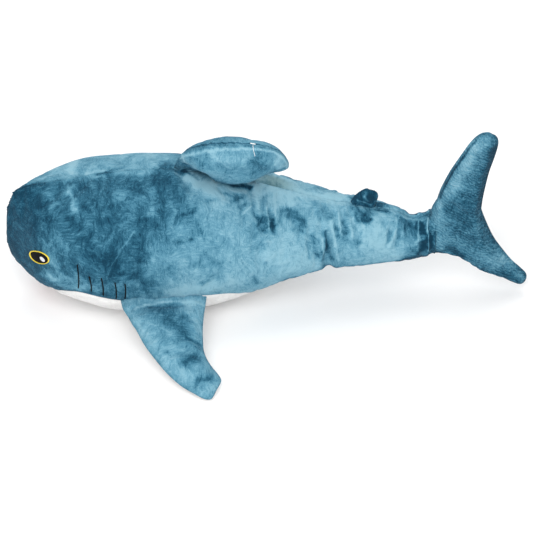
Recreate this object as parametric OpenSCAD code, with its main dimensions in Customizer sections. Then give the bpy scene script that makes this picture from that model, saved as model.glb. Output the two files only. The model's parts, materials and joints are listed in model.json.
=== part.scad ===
// Stuffed toy shark: sewn fabric panels over fibre stuffing, with floppy sewn-on fins.
// X runs from the snout to the tail, Y across the body, Z up. Z = 0 is the floor it lies on.
// X = 0 is the middle of the overall length and Y = 0 the plane of the back seam.

/* [Body] */
// Length from the snout to the tips of the tail fin
overall_length = 800; // [780:5:820]
// Length of the stuffed body, from the snout to the sewn root of the tail fin
body_length = 654; // [640:2:668]
// Widest part of the body
body_width = 244; // [230:2:256]
// Full height of the body's round section before it flattens on the floor
body_height = 248; // [240:2:256]
// Height of the body's middle line where the body is tallest
axis_height = 110; // [106:1:118]

/* [Fabric] */
// Thickness of the plush fabric
fabric = 2.5; // [1.5:0.1:3.5]
// Gap between two panels at a sewn seam
seam_gap = 0.3; // [0.1:0.05:0.5]
// Gap between the fabric and the stuffing
stuffing_gap = 1.6; // [1:0.1:2]

/* [Fins] */
// Angle that the dorsal fin leans to the shark's left
dorsal_lean = 30; // [0:1:30]
// Angle that the pectoral fins slope down to the floor
pectoral_droop = 17; // [15:0.5:17]
// Radius of the rolled seam at the root of a fin, which is its hinge
root_roll_r = 4; // [3:0.5:4]

/* [Joints] */
// Widest swing of the rear body at the waist, each way
waist_swing = 20; // [10:1:20]
// Widest swing of the tail fin, each way
tail_swing = 35; // [15:1:35]

/* [Hidden] */
$fn = 48;

plush_blue = [0.33, 0.55, 0.65];
plush_white = [0.93, 0.93, 0.92];
fibre_white = [0.97, 0.97, 0.95];
thread_black = [0.06, 0.06, 0.08];
thread_yellow = [0.95, 0.78, 0.12];
felt_white = [0.98, 0.98, 0.97];
lining_pink = [0.78, 0.36, 0.40];

snout_x = -overall_length / 2;

// Body stations, in per cent: [share of body_length, middle line above axis_height as a share of
// body_height / 2, half-width as a share of body_width / 2, half-height as a share of body_height / 2]
stations = [
    [0, 15, 2.5, 24], [1.5, 16, 14, 48], [4, 13, 32, 61], [7.5, 8, 58, 69], [13, 6, 83, 77],
    [22, 3, 100, 90], [34, 0, 99, 100], [47, 3, 94, 94], [58, 6, 81, 78], [67, 8, 68, 61],
    [76, 7, 52, 48], [84, 4, 45, 44], [92.5, -1, 32, 37], [96, -5, 28, 31], [101.2, 0, 25, 31]
];
// Belly panel: [share of body_length in per cent, half-angle of the panel from straight down]
belly_edge = [
    [3, 0], [11, 40], [16.5, 62], [27, 64], [47, 64], [53, 57], [58, 38], [67, 24], [82, 10],
    [92, 0]
];

// Index of the row that starts the interval holding s
function row_of(t, s, i = 0) = (i >= len(t) - 2 || s < t[i + 1][0]) ? i : row_of(t, s, i + 1);
// Slope of column c of table t at row i
function slope(t, i, c) =
    let (a = max(i - 1, 0), b = min(i + 1, len(t) - 1)) (t[b][c] - t[a][c]) / (t[b][0] - t[a][0]);
// Smooth cubic curve through column c of table t, at position s
function curve(t, s, c) =
    let (
        i = row_of(t, s), h = t[i + 1][0] - t[i][0], u = (s - t[i][0]) / h,
        p = t[i][c], q = t[i + 1][c], m = slope(t, i, c) * h, n = slope(t, i + 1, c) * h
    )
    (2 * u * u * u - 3 * u * u + 1) * p + (u * u * u - 2 * u * u + u) * m
    + (3 * u * u - 2 * u * u * u) * q + (u * u * u - u * u) * n;

function percent(s) = 100 * s / body_length;
function middle_z(s) = axis_height + curve(stations, percent(s), 1) / 100 * body_height / 2;
function half_width(s) = curve(stations, percent(s), 2) / 100 * body_width / 2;
function half_height(s) = curve(stations, percent(s), 3) / 100 * body_height / 2;
function belly_angle(s) = let (p = percent(s))
    (p <= belly_edge[0][0] || p >= belly_edge[len(belly_edge) - 1][0]) ? 0
        : max(0, curve(belly_edge, p, 1));

// Point on the body at distance s from the snout. angle is 0 straight down and 180 on the back
// seam. side is -1 on the shark's left and 1 on its right. inset is how deep under the surface.
function body_point(s, angle, side, inset, shift = 0) = [
    snout_x + s,
    side * (max(half_width(s) - inset, 0.4) * sin(angle) + shift),
    max(middle_z(s) - max(half_height(s) - inset, 0.4) * cos(angle), inset)
];

station_count = 36;
station_crowding = 1.35;
body_end = body_length * 1.011;
function station(i) = body_end * pow(i / station_count, station_crowding);

// Closed solid through a list of rings, each with the same number of points. The rings run
// clockwise seen from the last ring, and the caps are flat strips between facing points.
module loft(rings) {
    n = len(rings[0]);
    last = len(rings) - 1;
    points = [for (ring = rings) each ring];
    sides = [
        for (i = [0:last - 1], k = [0:n - 1])
            let (a = i * n + k, b = i * n + (k + 1) % n)
                each [[a, b, b + n], [a, b + n, a + n]]
    ];
    caps = [
        for (k = [0:n / 2 - 2])
            let (a = k, b = k + 1, c = n - 2 - k, d = n - 1 - k, e = last * n)
                each (b == c ? [[a, d, b], [a + e, b + e, d + e]]
                    : [[a, d, c], [a, c, b], [a + e, c + e, d + e], [a + e, b + e, c + e]])
    ];
    polyhedron(points = points, faces = concat(sides, caps), convexity = 6);
}

// ---------- body ----------

flank_steps = 14;
belly_steps = 12;

// Ring of a fabric panel at station s between two angles: out along the inside, back outside
function panel_ring(s, from, to, steps, side, shift) = concat(
    [for (k = [0:steps]) body_point(s, from + (to - from) * k / steps, side, fabric, shift)],
    [for (k = [steps:-1:0]) body_point(s, from + (to - from) * k / steps, side, 0, shift)]
);

module left_flank() {
    loft([for (i = [0:station_count]) let (s = station(i))
        panel_ring(s, 180, belly_angle(s), flank_steps, -1, seam_gap / 2)]);
}

// Widest angle of the belly panel at s, short of the flank panels by the seam gap
function belly_half(s) = belly_angle(s) - seam_gap / half_width(s) * 180 / PI;

module belly() {
    inner = [for (i = [0:station_count]) let (s = station(i)) if (belly_half(s) > 2) s];
    loft([for (s = inner) panel_ring(s, -belly_half(s), belly_half(s), belly_steps, 1, 0)]);
}

// Stuffing between two distances from the snout
core_inset = fabric + stuffing_gap;
core_steps = 14;
function core_ring(s) = [
    for (k = [0:2 * core_steps - 1])
        body_point(s, 180 - (k + 0.5) * 180 / core_steps, 1, core_inset)
];
module core(from, to) {
    between = [for (i = [0:station_count]) let (s = station(i)) if (s > from + 4 && s < to - 4) s];
    loft([for (s = concat([from], between, [to])) core_ring(s)]);
}

// ---------- joints in the body: a round nose of stuffing turning in a round pocket ----------

running_gap = 1;
waist_s = 0.757 * body_length;
waist_nose_r = 44;
waist_nose_h = 68;
waist_shoulder = (half_width(waist_s) - core_inset) * tan(waist_swing / 2) + running_gap;
tail_nose_r = 16;
tail_nose_h = 34;
tail_shoulder = (half_width(body_length) - core_inset) * tan(tail_swing / 2) + running_gap;
core_start = 6;

module nose(s, radius, height) {
    translate([snout_x + s, 0, middle_z(s) - height / 2]) cylinder(r = radius, h = height);
}

module front_core() {
    difference() {
        core(core_start, waist_s - waist_shoulder);
        nose(waist_s, waist_nose_r + running_gap, waist_nose_h + 2 * running_gap);
    }
}

module rear_core() {
    difference() {
        union() {
            core(waist_s + waist_shoulder, body_length - tail_shoulder);
            nose(waist_s, waist_nose_r, waist_nose_h);
        }
        nose(body_length, tail_nose_r + running_gap, tail_nose_h + 2 * running_gap);
    }
}

// ---------- eyes, gills and mouth ----------

embroidery = 1.2;
applied_gap = 0.4;
eye_s = 52;
eye_z = 119;
eye_tilt = 36;
eye_half_length = 16.6;
eye_half_height = 9.9;
rim_width = 2;

// Point on the left flank, seen from the side: distance from the snout and height
function flank_point(s, z, out) =
    let (angle = acos(max(-1, min(1, (middle_z(s) - z) / half_height(s)))))
        body_point(s, angle, -1, -out);

// Oval of thread on the left flank, between two radii given as offsets from the eye's outline
module eye_oval(inner, outer, base, ds = 0, dz = 0, length = eye_half_length,
                height = eye_half_height) {
    steps = 28;
    function at(phi, grow, out) = let (
        a = (length + grow) * cos(phi), b = (height + grow) * sin(phi),
        s = eye_s + ds + a * cos(eye_tilt) - b * sin(eye_tilt),
        z = eye_z + dz + a * sin(eye_tilt) + b * cos(eye_tilt)
    ) flank_point(s, z, out);
    function ring(phi) = [
        at(phi, inner, base), at(phi, outer, base),
        at(phi, outer, base + embroidery), at(phi, inner, base + embroidery)
    ];
    rings = [for (k = [0:steps - 1]) ring(k * 360 / steps)];
    points = [for (r = rings) each r];
    faces = [
        for (k = [0:steps - 1], j = [0:3])
            let (a = 4 * k + j, b = 4 * k + (j + 1) % 4, n = 4 * ((k + 1) % steps))
                each [[a, b, n + (j + 1) % 4], [a, n + (j + 1) % 4, n + j]]
    ];
    polyhedron(points = points, faces = faces);
}

// Strip of thread along the left flank from [s, z] to [s, z]
module flank_strip(from, to, width) {
    steps = 6;
    function ring(u) = let (s = from[0] + (to[0] - from[0]) * u, z = from[1] + (to[1] - from[1]) * u)
        [
            flank_point(s - width / 2, z, applied_gap), flank_point(s + width / 2, z, applied_gap),
            flank_point(s + width / 2, z, applied_gap + embroidery),
            flank_point(s - width / 2, z, applied_gap + embroidery)
        ];
    loft([for (k = [0:steps]) ring(k / steps)]);
}

// Gill lines: [distance from the snout at the top, at the bottom, top height, bottom height]
gills = [[110, 111, 133, 79], [128, 132, 115, 78], [147, 151, 114, 72], [168, 171, 105, 65],
         [184, 184, 103, 65]];
gill_width = 1.8;

module left_gills() {
    for (g = gills) flank_strip([g[1], g[3]], [g[0], g[2]], gill_width);
}

mouth_half_angle = 38;
mouth_middle_s = 62;
mouth_corner_s = 110;
mouth_half_open = 8;
mouth_lining_t = 1;
tooth_count = 9;
tooth_length = 8;

function mouth_s(angle) =
    mouth_middle_s + (mouth_corner_s - mouth_middle_s) * pow(abs(angle) / mouth_half_angle, 2);
function mouth_open(angle) =
    0.6 + mouth_half_open * sqrt(max(0, 1 - pow(angle / mouth_half_angle, 2)));

module mouth() {
    steps = 20;
    function ring(angle) = let (s = mouth_s(angle), w = mouth_open(angle)) [
        body_point(s + w, angle, 1, -applied_gap), body_point(s - w, angle, 1, -applied_gap),
        body_point(s - w, angle, 1, -applied_gap - mouth_lining_t),
        body_point(s + w, angle, 1, -applied_gap - mouth_lining_t)
    ];
    loft([for (k = [-steps / 2:steps / 2]) ring(k * 2 / steps * mouth_half_angle)]);
}

// One felt tooth, centred on an angle round the body, with half its base given as an angle.
// lip is -1 at the snout side of the mouth and 1 at the throat.
module tooth(lip, middle, half) {
    base = applied_gap * 2 + mouth_lining_t;
    reach = min(tooth_length, 0.75 * mouth_open(middle));
    function edge(angle, in) = mouth_s(angle) + lip * (mouth_open(angle) - in);
    function corners(out) = [
        body_point(edge(middle - half, -1), middle - half, 1, -out),
        body_point(edge(middle + half, -1), middle + half, 1, -out),
        body_point(edge(middle, reach), middle, 1, -out)
    ];
    outward = [[0, 1, 2], [5, 4, 3], [0, 3, 4], [0, 4, 1], [1, 4, 5], [1, 5, 2], [2, 5, 3], [2, 3, 0]];
    polyhedron(
        points = concat(corners(base), corners(base + embroidery)),
        faces = lip < 0 ? outward : [for (f = outward) [f[2], f[1], f[0]]]
    );
}

module teeth(lip, count) {
    pitch = 1.5 * mouth_half_angle / count;
    for (k = [0:count - 1]) tooth(lip, (k - (count - 1) / 2) * pitch, 0.42 * pitch);
}

// ---------- fins ----------
// A fin is a loft of chords. Each row of its table is [height above the hinge, leading edge,
// trailing edge, half-thickness, how open the leading edge is from 0 to 1], in millimetres.

fin_steps = 10;

// Half-thickness of a chord at share u of its length
function swell(row, u) =
    row[3] * ((1 - row[4]) * pow(max(sin(180 * u), 0), 0.65) + row[4] * pow(max(cos(90 * u), 0), 0.8));

// One row of a fin's smooth surface at height h
function fin_row(t, h) = [h, for (c = [1:4]) curve(t, h, c)];

// Spacing of chord points, closer together near both edges
function chord_share(k) = (1 - cos(180 * k / fin_steps)) / 2;

// Ring of one face of a fin: along the outside, then back along the inside
function face_ring(row) = let (chord = row[2] - row[1], hem = min(fabric, chord / 4)) concat(
    [for (k = [0:fin_steps]) let (u = chord_share(k))
        [row[1] + chord * u, seam_gap / 2 + swell(row, u) + 0.1, row[0]]],
    [for (k = [fin_steps:-1:0]) let (u = chord_share(k))
        [row[1] + hem * (1 - row[4]) + (chord - hem * (2 - row[4])) * u,
         seam_gap / 2 + max(swell(row, u) - fabric, 0), row[0]]]
);

// Ring of the stuffing between the two faces
stuffing_margin = 0.14;
fin_slack = 1.5;
function stuffing_ring(row) =
    let (
        chord = row[2] - row[1], front = stuffing_margin * (1 - row[4]) + 0.01,
        span = 1 - stuffing_margin - front,
        thick = [
            for (k = [0:fin_steps])
                max(swell(row, front + span * k / fin_steps) - core_inset - fin_slack, 0.1)
        ]
    )
    concat(
        [for (k = [0:fin_steps]) [row[1] + chord * (front + span * k / fin_steps), thick[k], row[0]]],
        [
            for (k = [fin_steps:-1:0])
                [row[1] + chord * (front + span * k / fin_steps), -thick[k], row[0]]
        ]
    );

function heights(t, count, from, to) = [for (i = [0:count]) from + (to - from) * i / count];

module fin_face(t, count) {
    loft([for (h = heights(t, count, t[0][0], t[len(t) - 1][0])) face_ring(fin_row(t, h))]);
}

module fin_stuffing(t, count, from, to) {
    loft([for (h = heights(t, count, from, to)) stuffing_ring(fin_row(t, h))]);
}

// Rolled seam along the hinge, from one end of the fin's root to the other
module root_roll(from, to, radius) {
    translate([from, 0, 0]) rotate([0, 90, 0]) cylinder(r = radius, h = to - from);
}

// Dorsal fin, swept back. Its X is measured along the hinge from the front of the root.
dorsal_s = 264;
dorsal_root = 112;
dorsal_slope = 9.5;
dorsal_lift = 9;
dorsal = [
    [4.5, 2, 112, 6, 0], [12, 2, 138, 26, 0], [22, 3, 151, 34, 0], [36, 7, 162, 34, 0],
    [52, 14, 167, 31, 0], [66, 24, 164, 28, 0], [80, 40, 157, 25, 0], [94, 61, 149, 19, 0],
    [105, 83, 140, 12, 0], [111, 101, 130, 6, 0], [113.5, 110, 122, 2, 0]
];
module dorsal_place() {
    translate([snout_x + dorsal_s, 0, middle_z(dorsal_s) + half_height(dorsal_s) + dorsal_lift])
        rotate([0, dorsal_slope, 0]) rotate([dorsal_lean, 0, 0]) children();
}

// Small rear dorsal fin
rear_fin_s = 540;
rear_fin_root = 34;
rear_fin_slope = 12.5;
rear_fin_lift = 4;
rear_roll_r = 2.5;
rear_fin = [
    [3, 1, 33, 4, 0], [9, 2, 34, 8, 0], [17, 6, 34, 8, 0], [23, 11, 32, 5.5, 0],
    [26, 16, 27, 2, 0]
];
module rear_fin_place() {
    translate([snout_x + rear_fin_s, 0, middle_z(rear_fin_s) + half_height(rear_fin_s) + rear_fin_lift])
        rotate([0, rear_fin_slope, 0]) children();
}

// Pectoral fin, with its height running outward from the flank and down to the floor
pectoral_s = 182;
pectoral_root = 128;
pectoral_y = 118.5;
pectoral_z = 58;
pectoral_yaw = 4;
pectoral = [
    [5, 1, 128, 6, 0], [20, 5, 124, 11, 0], [45, 15, 120, 15, 0], [75, 27, 121, 16, 0],
    [105, 44, 123, 15, 0], [130, 62, 131, 13, 0], [151, 82, 140, 10, 0], [166, 98, 141, 7, 0],
    [177, 112, 134, 4, 0], [181, 118, 127, 2, 0]
];
module left_pectoral_place() {
    translate([snout_x + pectoral_s, -pectoral_y, pectoral_z])
        rotate([0, 0, pectoral_yaw]) rotate([90 + pectoral_droop, 0, 0]) children();
}

// Tail fin: height above the floor, edges measured from the snout
tail_start = body_length + tail_shoulder;
tail = [
    [14, 782, 797, 2, 0], [20, 768, 799.3, 5, 0], [30, 748, 799.6, 9, 0], [42, 728, 791, 13, 0],
    [56, 707, 779, 16, 0], [70, 682, 770, 19, 0.1], [82, tail_start, 762, 22, 0.8],
    [96, tail_start, 755, 25, 1], [112, tail_start, 748, 26, 1], [128, tail_start, 741, 25, 1],
    [142, tail_start, 736, 23, 0.8], [158, tail_start + 2, 734, 21, 0.2], [175, 665, 735, 20, 0],
    [200, 671, 739, 19, 0], [230, 684, 745, 18, 0], [262, 700, 752, 15, 0],
    [286, 714, 755, 11, 0], [299, 727, 751, 6, 0], [304, 734, 745, 2, 0]
];
module tail_place() {
    translate([snout_x, 0, 0]) children();
}

// Plastic fastener left by a swing tag: a short bar on a thin filament, over the dorsal fin's edge
barb_length = 9;
barb_r = 0.7;
filament_length = 26;
filament_turn = 141;
filament_r = 0.45;
module fastener() {
    translate([106, 0, 118.5]) {
        translate([-barb_length / 2, 0, 0]) rotate([0, 90, 0]) cylinder(r = barb_r, h = barb_length);
        rotate([filament_turn, 0, 0]) cylinder(r = filament_r, h = filament_length);
    }
}

// ---------- nodes ----------

module left_flank_panel() { color(plush_blue) left_flank(); }
module right_flank_panel() { color(plush_blue) mirror([0, 1, 0]) left_flank(); }
module belly_panel() { color(plush_white) belly(); }
module front_stuffing() { color(fibre_white) front_core(); }
module rear_stuffing() { color(fibre_white) rear_core(); }

glint_half = 4.4;
module left_eye_rim() { color(thread_yellow) eye_oval(0, rim_width, applied_gap); }
module left_eye_pupil() {
    color(thread_black) eye_disc(-0.3, applied_gap, eye_half_length, eye_half_height);
}
module left_eye_glint() {
    color(felt_white)
        eye_disc(0, 2 * applied_gap + embroidery, glint_half * 0.7, glint_half, 5, 2);
}

// Filled oval of thread on the left flank
module eye_disc(grow, base, length, height, ds = 0, dz = 0) {
    steps = 12;
    across = 6;
    function at(a, side, out) = let (
        x = (length + grow) * a, y = side * (height + grow) * sqrt(max(0.004, 1 - a * a)),
        s = eye_s + ds + x * cos(eye_tilt) - y * sin(eye_tilt),
        z = eye_z + dz + x * sin(eye_tilt) + y * cos(eye_tilt)
    ) flank_point(s, z, out);
    function ring(a) = concat(
        [for (k = [0:across]) at(a, 2 * k / across - 1, base)],
        [for (k = [across:-1:0]) at(a, 2 * k / across - 1, base + embroidery)]
    );
    loft([for (k = [0:steps]) ring(cos(180 * k / steps))]);
}

module right_eye_rim() { mirror([0, 1, 0]) left_eye_rim(); }
module right_eye_pupil() { mirror([0, 1, 0]) left_eye_pupil(); }
module right_eye_glint() { mirror([0, 1, 0]) left_eye_glint(); }
module left_gill_stitches() { color(thread_black) left_gills(); }
module right_gill_stitches() { mirror([0, 1, 0]) left_gill_stitches(); }
module mouth_lining() { color(lining_pink) mouth(); }
module upper_teeth() { color(felt_white) teeth(-1, tooth_count); }
module lower_teeth() { color(felt_white) teeth(1, tooth_count - 1); }

module dorsal_fin_left_face() {
    color(plush_blue) dorsal_place() mirror([0, 1, 0]) fin_face(dorsal, 16);
}
module dorsal_fin_right_face() { color(plush_blue) dorsal_place() fin_face(dorsal, 16); }
module dorsal_fin_stuffing() { color(fibre_white) dorsal_place() fin_stuffing(dorsal, 12, 8, 104); }
module dorsal_fin_root_seam() {
    color(plush_blue) dorsal_place() root_roll(0, dorsal_root, root_roll_r);
}
module tag_fastener() { color(felt_white) dorsal_place() fastener(); }

module rear_fin_left_face() {
    color(plush_blue) rear_fin_place() mirror([0, 1, 0]) fin_face(rear_fin, 8);
}
module rear_fin_right_face() { color(plush_blue) rear_fin_place() fin_face(rear_fin, 8); }
module rear_fin_stuffing() { color(fibre_white) rear_fin_place() fin_stuffing(rear_fin, 4, 7, 20); }
module rear_fin_root_seam() {
    color(plush_blue) rear_fin_place() root_roll(0, rear_fin_root, rear_roll_r);
}

module left_pectoral_upper_face() {
    color(plush_blue) left_pectoral_place() fin_face(pectoral, 16);
}
module left_pectoral_lower_face() {
    color(plush_white) left_pectoral_place() mirror([0, 1, 0]) fin_face(pectoral, 16);
}
module left_pectoral_stuffing() {
    color(fibre_white) left_pectoral_place() fin_stuffing(pectoral, 12, 9, 172);
}
module left_pectoral_root_seam() {
    color(plush_blue) left_pectoral_place() root_roll(0, pectoral_root, root_roll_r);
}
module right_pectoral_upper_face() { mirror([0, 1, 0]) left_pectoral_upper_face(); }
module right_pectoral_lower_face() { mirror([0, 1, 0]) left_pectoral_lower_face(); }
module right_pectoral_stuffing() { mirror([0, 1, 0]) left_pectoral_stuffing(); }
module right_pectoral_root_seam() { mirror([0, 1, 0]) left_pectoral_root_seam(); }

module tail_left_face() { color(plush_blue) tail_place() mirror([0, 1, 0]) fin_face(tail, 30); }
module tail_right_face() { color(plush_blue) tail_place() fin_face(tail, 30); }
module tail_stuffing() {
    color(fibre_white) union() {
        tail_place() fin_stuffing(tail, 22, 26, 294);
        nose(body_length, tail_nose_r, tail_nose_h);
    }
}

left_flank_panel();
right_flank_panel();
belly_panel();
front_stuffing();
rear_stuffing();
left_eye_rim();
left_eye_pupil();
left_eye_glint();
right_eye_rim();
right_eye_pupil();
right_eye_glint();
left_gill_stitches();
right_gill_stitches();
mouth_lining();
upper_teeth();
lower_teeth();
dorsal_fin_left_face();
dorsal_fin_right_face();
dorsal_fin_stuffing();
dorsal_fin_root_seam();
tag_fastener();
rear_fin_left_face();
rear_fin_right_face();
rear_fin_stuffing();
rear_fin_root_seam();
left_pectoral_upper_face();
left_pectoral_lower_face();
left_pectoral_stuffing();
left_pectoral_root_seam();
right_pectoral_upper_face();
right_pectoral_lower_face();
right_pectoral_stuffing();
right_pectoral_root_seam();
tail_left_face();
tail_right_face();
tail_stuffing();
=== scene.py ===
"""Plush shark: sewn velvet panels over fibre stuffing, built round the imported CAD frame.

Lengths inside the helpers are millimetres, as in the CAD; meshes are made in metres.
s is the distance from the snout, angle is 0 straight down and 180 on the back seam, and
side is -1 on the shark's left and 1 on its right.
"""

import json
import math

import bmesh
import bpy
import numpy as np
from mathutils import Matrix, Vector, geometry, noise
from mathutils.bvhtree import BVHTree


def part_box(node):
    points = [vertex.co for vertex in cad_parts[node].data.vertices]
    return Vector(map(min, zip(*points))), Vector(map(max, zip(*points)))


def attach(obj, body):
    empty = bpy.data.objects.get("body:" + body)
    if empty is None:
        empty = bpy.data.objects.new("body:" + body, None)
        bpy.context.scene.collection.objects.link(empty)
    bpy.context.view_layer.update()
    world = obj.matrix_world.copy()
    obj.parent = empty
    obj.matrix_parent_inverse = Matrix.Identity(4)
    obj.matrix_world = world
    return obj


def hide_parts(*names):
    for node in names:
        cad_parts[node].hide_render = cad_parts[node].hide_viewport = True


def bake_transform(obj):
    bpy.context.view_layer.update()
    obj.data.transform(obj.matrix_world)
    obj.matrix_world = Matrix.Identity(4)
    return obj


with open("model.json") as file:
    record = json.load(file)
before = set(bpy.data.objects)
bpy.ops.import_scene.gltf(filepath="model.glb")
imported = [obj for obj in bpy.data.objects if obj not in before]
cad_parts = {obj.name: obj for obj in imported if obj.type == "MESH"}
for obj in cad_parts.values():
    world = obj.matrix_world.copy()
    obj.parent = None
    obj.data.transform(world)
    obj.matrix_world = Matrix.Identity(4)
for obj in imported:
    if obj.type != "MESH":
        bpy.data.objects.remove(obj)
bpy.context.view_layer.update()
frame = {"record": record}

MM = 0.001
SNOUT_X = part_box("left_flank_panel")[0][0] / MM
SIDES = (("left", -1), ("right", 1))

# ---------------------------------------------------------------- camera, floor and lights

VIEW_ELEVATION = 37.0
VIEW_DISTANCE = 24.0
VIEW_WIDTH = 0.8216
VIEW_CENTRE = Vector((0.0015, 0.0, 0.0454))
VIEW_END = 60
SENSOR = 36.0
FLOOR_SIZE = 40
FLOOR_Z = -0.0006
FLOOR_WHITE = (0.96, 0.96, 0.96, 1)
SKY_STRENGTH = 0.80
# name, place and size in metres, watts
LIGHTS = [("key", (-0.4, -2.7, 2.7), 2.6, 78), ("top", (-0.3, 1.0, 2.8), 2.4, 20)]


def make_camera():
    data = bpy.data.cameras.new("camera")
    camera = bpy.data.objects.new("camera", data)
    bpy.context.collection.objects.link(camera)
    tilt = math.radians(VIEW_ELEVATION)
    back = Vector((0, -math.cos(tilt), math.sin(tilt)))
    camera.location = VIEW_CENTRE + back * VIEW_DISTANCE
    camera.rotation_euler = (math.pi / 2 - tilt, 0, 0)
    data.sensor_width = SENSOR
    data.lens = SENSOR * VIEW_DISTANCE / VIEW_WIDTH
    data.clip_end = VIEW_END
    bpy.context.scene.camera = camera


def area_light(name, place, size, power):
    data = bpy.data.lights.new(name, "AREA")
    data.shape = "DISK"
    data.size = size
    data.energy = power
    light = bpy.data.objects.new(name, data)
    bpy.context.collection.objects.link(light)
    light.location = place
    light.rotation_euler = (-Vector(place)).to_track_quat("-Z", "Y").to_euler()


def make_stage():
    bpy.ops.mesh.primitive_plane_add(size=FLOOR_SIZE, location=(0, 0, FLOOR_Z))
    floor = bpy.context.object
    floor.name = "floor"
    m = Nodes("floor_white")
    m.feed(m.shader, {"Base Color": FLOOR_WHITE, "Roughness": 0.9, "Specular IOR Level": 0.1})
    floor.data.materials.append(m.material)
    world = bpy.data.worlds.new("studio")
    bpy.context.scene.world = world
    world.use_nodes = True
    background = world.node_tree.nodes["Background"]
    background.inputs["Color"].default_value = (1, 1, 1, 1)
    background.inputs["Strength"].default_value = SKY_STRENGTH
    for light in LIGHTS:
        area_light(*light)
    bpy.context.scene.view_settings.view_transform = "Standard"


# ---------------------------------------------------------------- shape of the body

BODY_LENGTH = 654.0
HALF_WIDTH = 122.0
HALF_HEIGHT = 124.0
AXIS_HEIGHT = 110.0
BODY_END = 661.0
# percent of the length, then middle, half width and half height in percent of their largest
STATIONS = np.array([
    [0, 15, 2.5, 24], [1.5, 16, 14, 48], [4, 13, 32, 61], [7.5, 8, 58, 69], [13, 6, 83, 77],
    [22, 3, 100, 90], [34, 0, 99, 100], [47, 3, 94, 94], [58, 6, 81, 78], [67, 8, 68, 61],
    [76, 7, 52, 48], [84, 4, 45, 44], [92.5, -1, 32, 37], [96, -5, 28, 31], [101.2, 0, 25, 31],
], float)
# percent of the length, and the angle where the belly panel is sewn to the flank
BELLY_EDGE = np.array([
    [3, 0], [11, 40], [16.5, 62], [27, 64], [47, 64], [53, 57], [58, 38], [67, 24], [82, 10],
    [92, 0],
], float)


def hermite(t, start, end, leaving, arriving):
    """A cubic from start to end with these slopes at its two ends."""
    return ((2 * t**3 - 3 * t**2 + 1) * start + (t**3 - 2 * t**2 + t) * leaving
            + (3 * t**2 - 2 * t**3) * end + (t**3 - t**2) * arriving)


def curve(table, x, column):
    """Smooth cubic curve through one column of a table, the same as the CAD's."""
    x = np.asarray(x, float)
    knots, values = table[:, 0], table[:, column]
    last = len(knots) - 1
    before = np.maximum(np.arange(last + 1) - 1, 0)
    after = np.minimum(np.arange(last + 1) + 1, last)
    slopes = (values[after] - values[before]) / (knots[after] - knots[before])
    i = np.clip(np.searchsorted(knots, x, side="right") - 1, 0, last - 1)
    h = knots[i + 1] - knots[i]
    u = (x - knots[i]) / h
    return hermite(u, values[i], values[i + 1], slopes[i] * h, slopes[i + 1] * h)


def share(s):
    return 100 * np.asarray(s, float) / BODY_LENGTH


def middle_z(s):
    return AXIS_HEIGHT + curve(STATIONS, share(s), 1) / 100 * HALF_HEIGHT


def half_width(s):
    nose_gap = 2.7 * np.exp(-np.asarray(s, float) / 3)
    return curve(STATIONS, share(s), 2) / 100 * HALF_WIDTH - nose_gap


def half_height(s):
    return curve(STATIONS, share(s), 3) / 100 * HALF_HEIGHT


def belly_angle(s):
    p = share(s)
    inside = (p > BELLY_EDGE[0, 0]) & (p < BELLY_EDGE[-1, 0])
    at = np.clip(p, BELLY_EDGE[0, 0], BELLY_EDGE[-1, 0])
    return np.where(inside, np.maximum(curve(BELLY_EDGE, at, 1), 0), 0)


def smooth(x, low, high):
    t = np.clip((np.asarray(x, float) - low) / (high - low), 0, 1)
    return t * t * (3 - 2 * t)


def bell(x, middle, width):
    return np.exp(-(((x - middle) / width) ** 2))


def base_point(s, angle, side):
    a = np.radians(angle)
    return np.stack([
        SNOUT_X + s,
        side * half_width(s) * np.sin(a),
        np.maximum(middle_z(s) - half_height(s) * np.cos(a), 0),
    ], -1)


def unit(vectors):
    return vectors / np.maximum(np.linalg.norm(vectors, axis=-1, keepdims=True), 1e-9)


def base_normal(s, angle, side):
    step = 0.5
    along = base_point(np.clip(s + step, 0, BODY_END), angle, side) - base_point(
        np.clip(s - step, 0, BODY_END), angle, side)
    flat = np.radians(angle)
    around = np.stack([
        np.zeros_like(s), side * half_width(s) * np.cos(flat), half_height(s) * np.sin(flat)
    ], -1)
    return unit(np.cross(along, around) * -side)


def fractal(points, size, octaves, seed=0.0, stretch=(1, 1, 1)):
    """Smooth noise from about -1 to 1 at points in millimetres; size is its coarsest grain."""
    scaled = (np.asarray(points, float) * np.asarray(stretch) / size).reshape(-1, 3)
    shift = Vector((seed * 7.13, seed * 3.71, seed * 5.39))
    values = [noise.fractal(Vector(p) + shift, 1.0, 2.0, octaves) for p in scaled]
    return np.array(values).reshape(np.shape(points)[:-1])


def stroke(s, girth, start, end, width):
    """1 on a brushed line from start to end in (s, girth) millimetres, falling to 0 beside it."""
    a, b = np.array(start, float), np.array(end, float)
    line = b - a
    x, y = s - a[0], girth - a[1]
    t = np.clip((x * line[0] + y * line[1]) / max(line @ line, 1e-6), 0, 1)
    return np.exp(-((x - t * line[0]) ** 2 + (y - t * line[1]) ** 2) / width**2)


def strokes_at(x, y, strokes):
    """The sum at points x, y of strokes: two ends, a width and a level each."""
    return sum(level * stroke(x, y, (x0, y0), (x1, y1), width)
               for x0, y0, x1, y1, width, level in strokes)


def mean_radius(s):
    return (half_width(s) + half_height(s)) / 2


def girth_of(s, angle):
    """How far up the flank a point lies, in millimetres from straight out sideways."""
    return np.radians(angle - 90) * mean_radius(s)


def spot(s, angle, shift=0.0):
    """A place on the flank as stroke wants it."""
    return s + shift, float(girth_of(s, angle))


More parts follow.
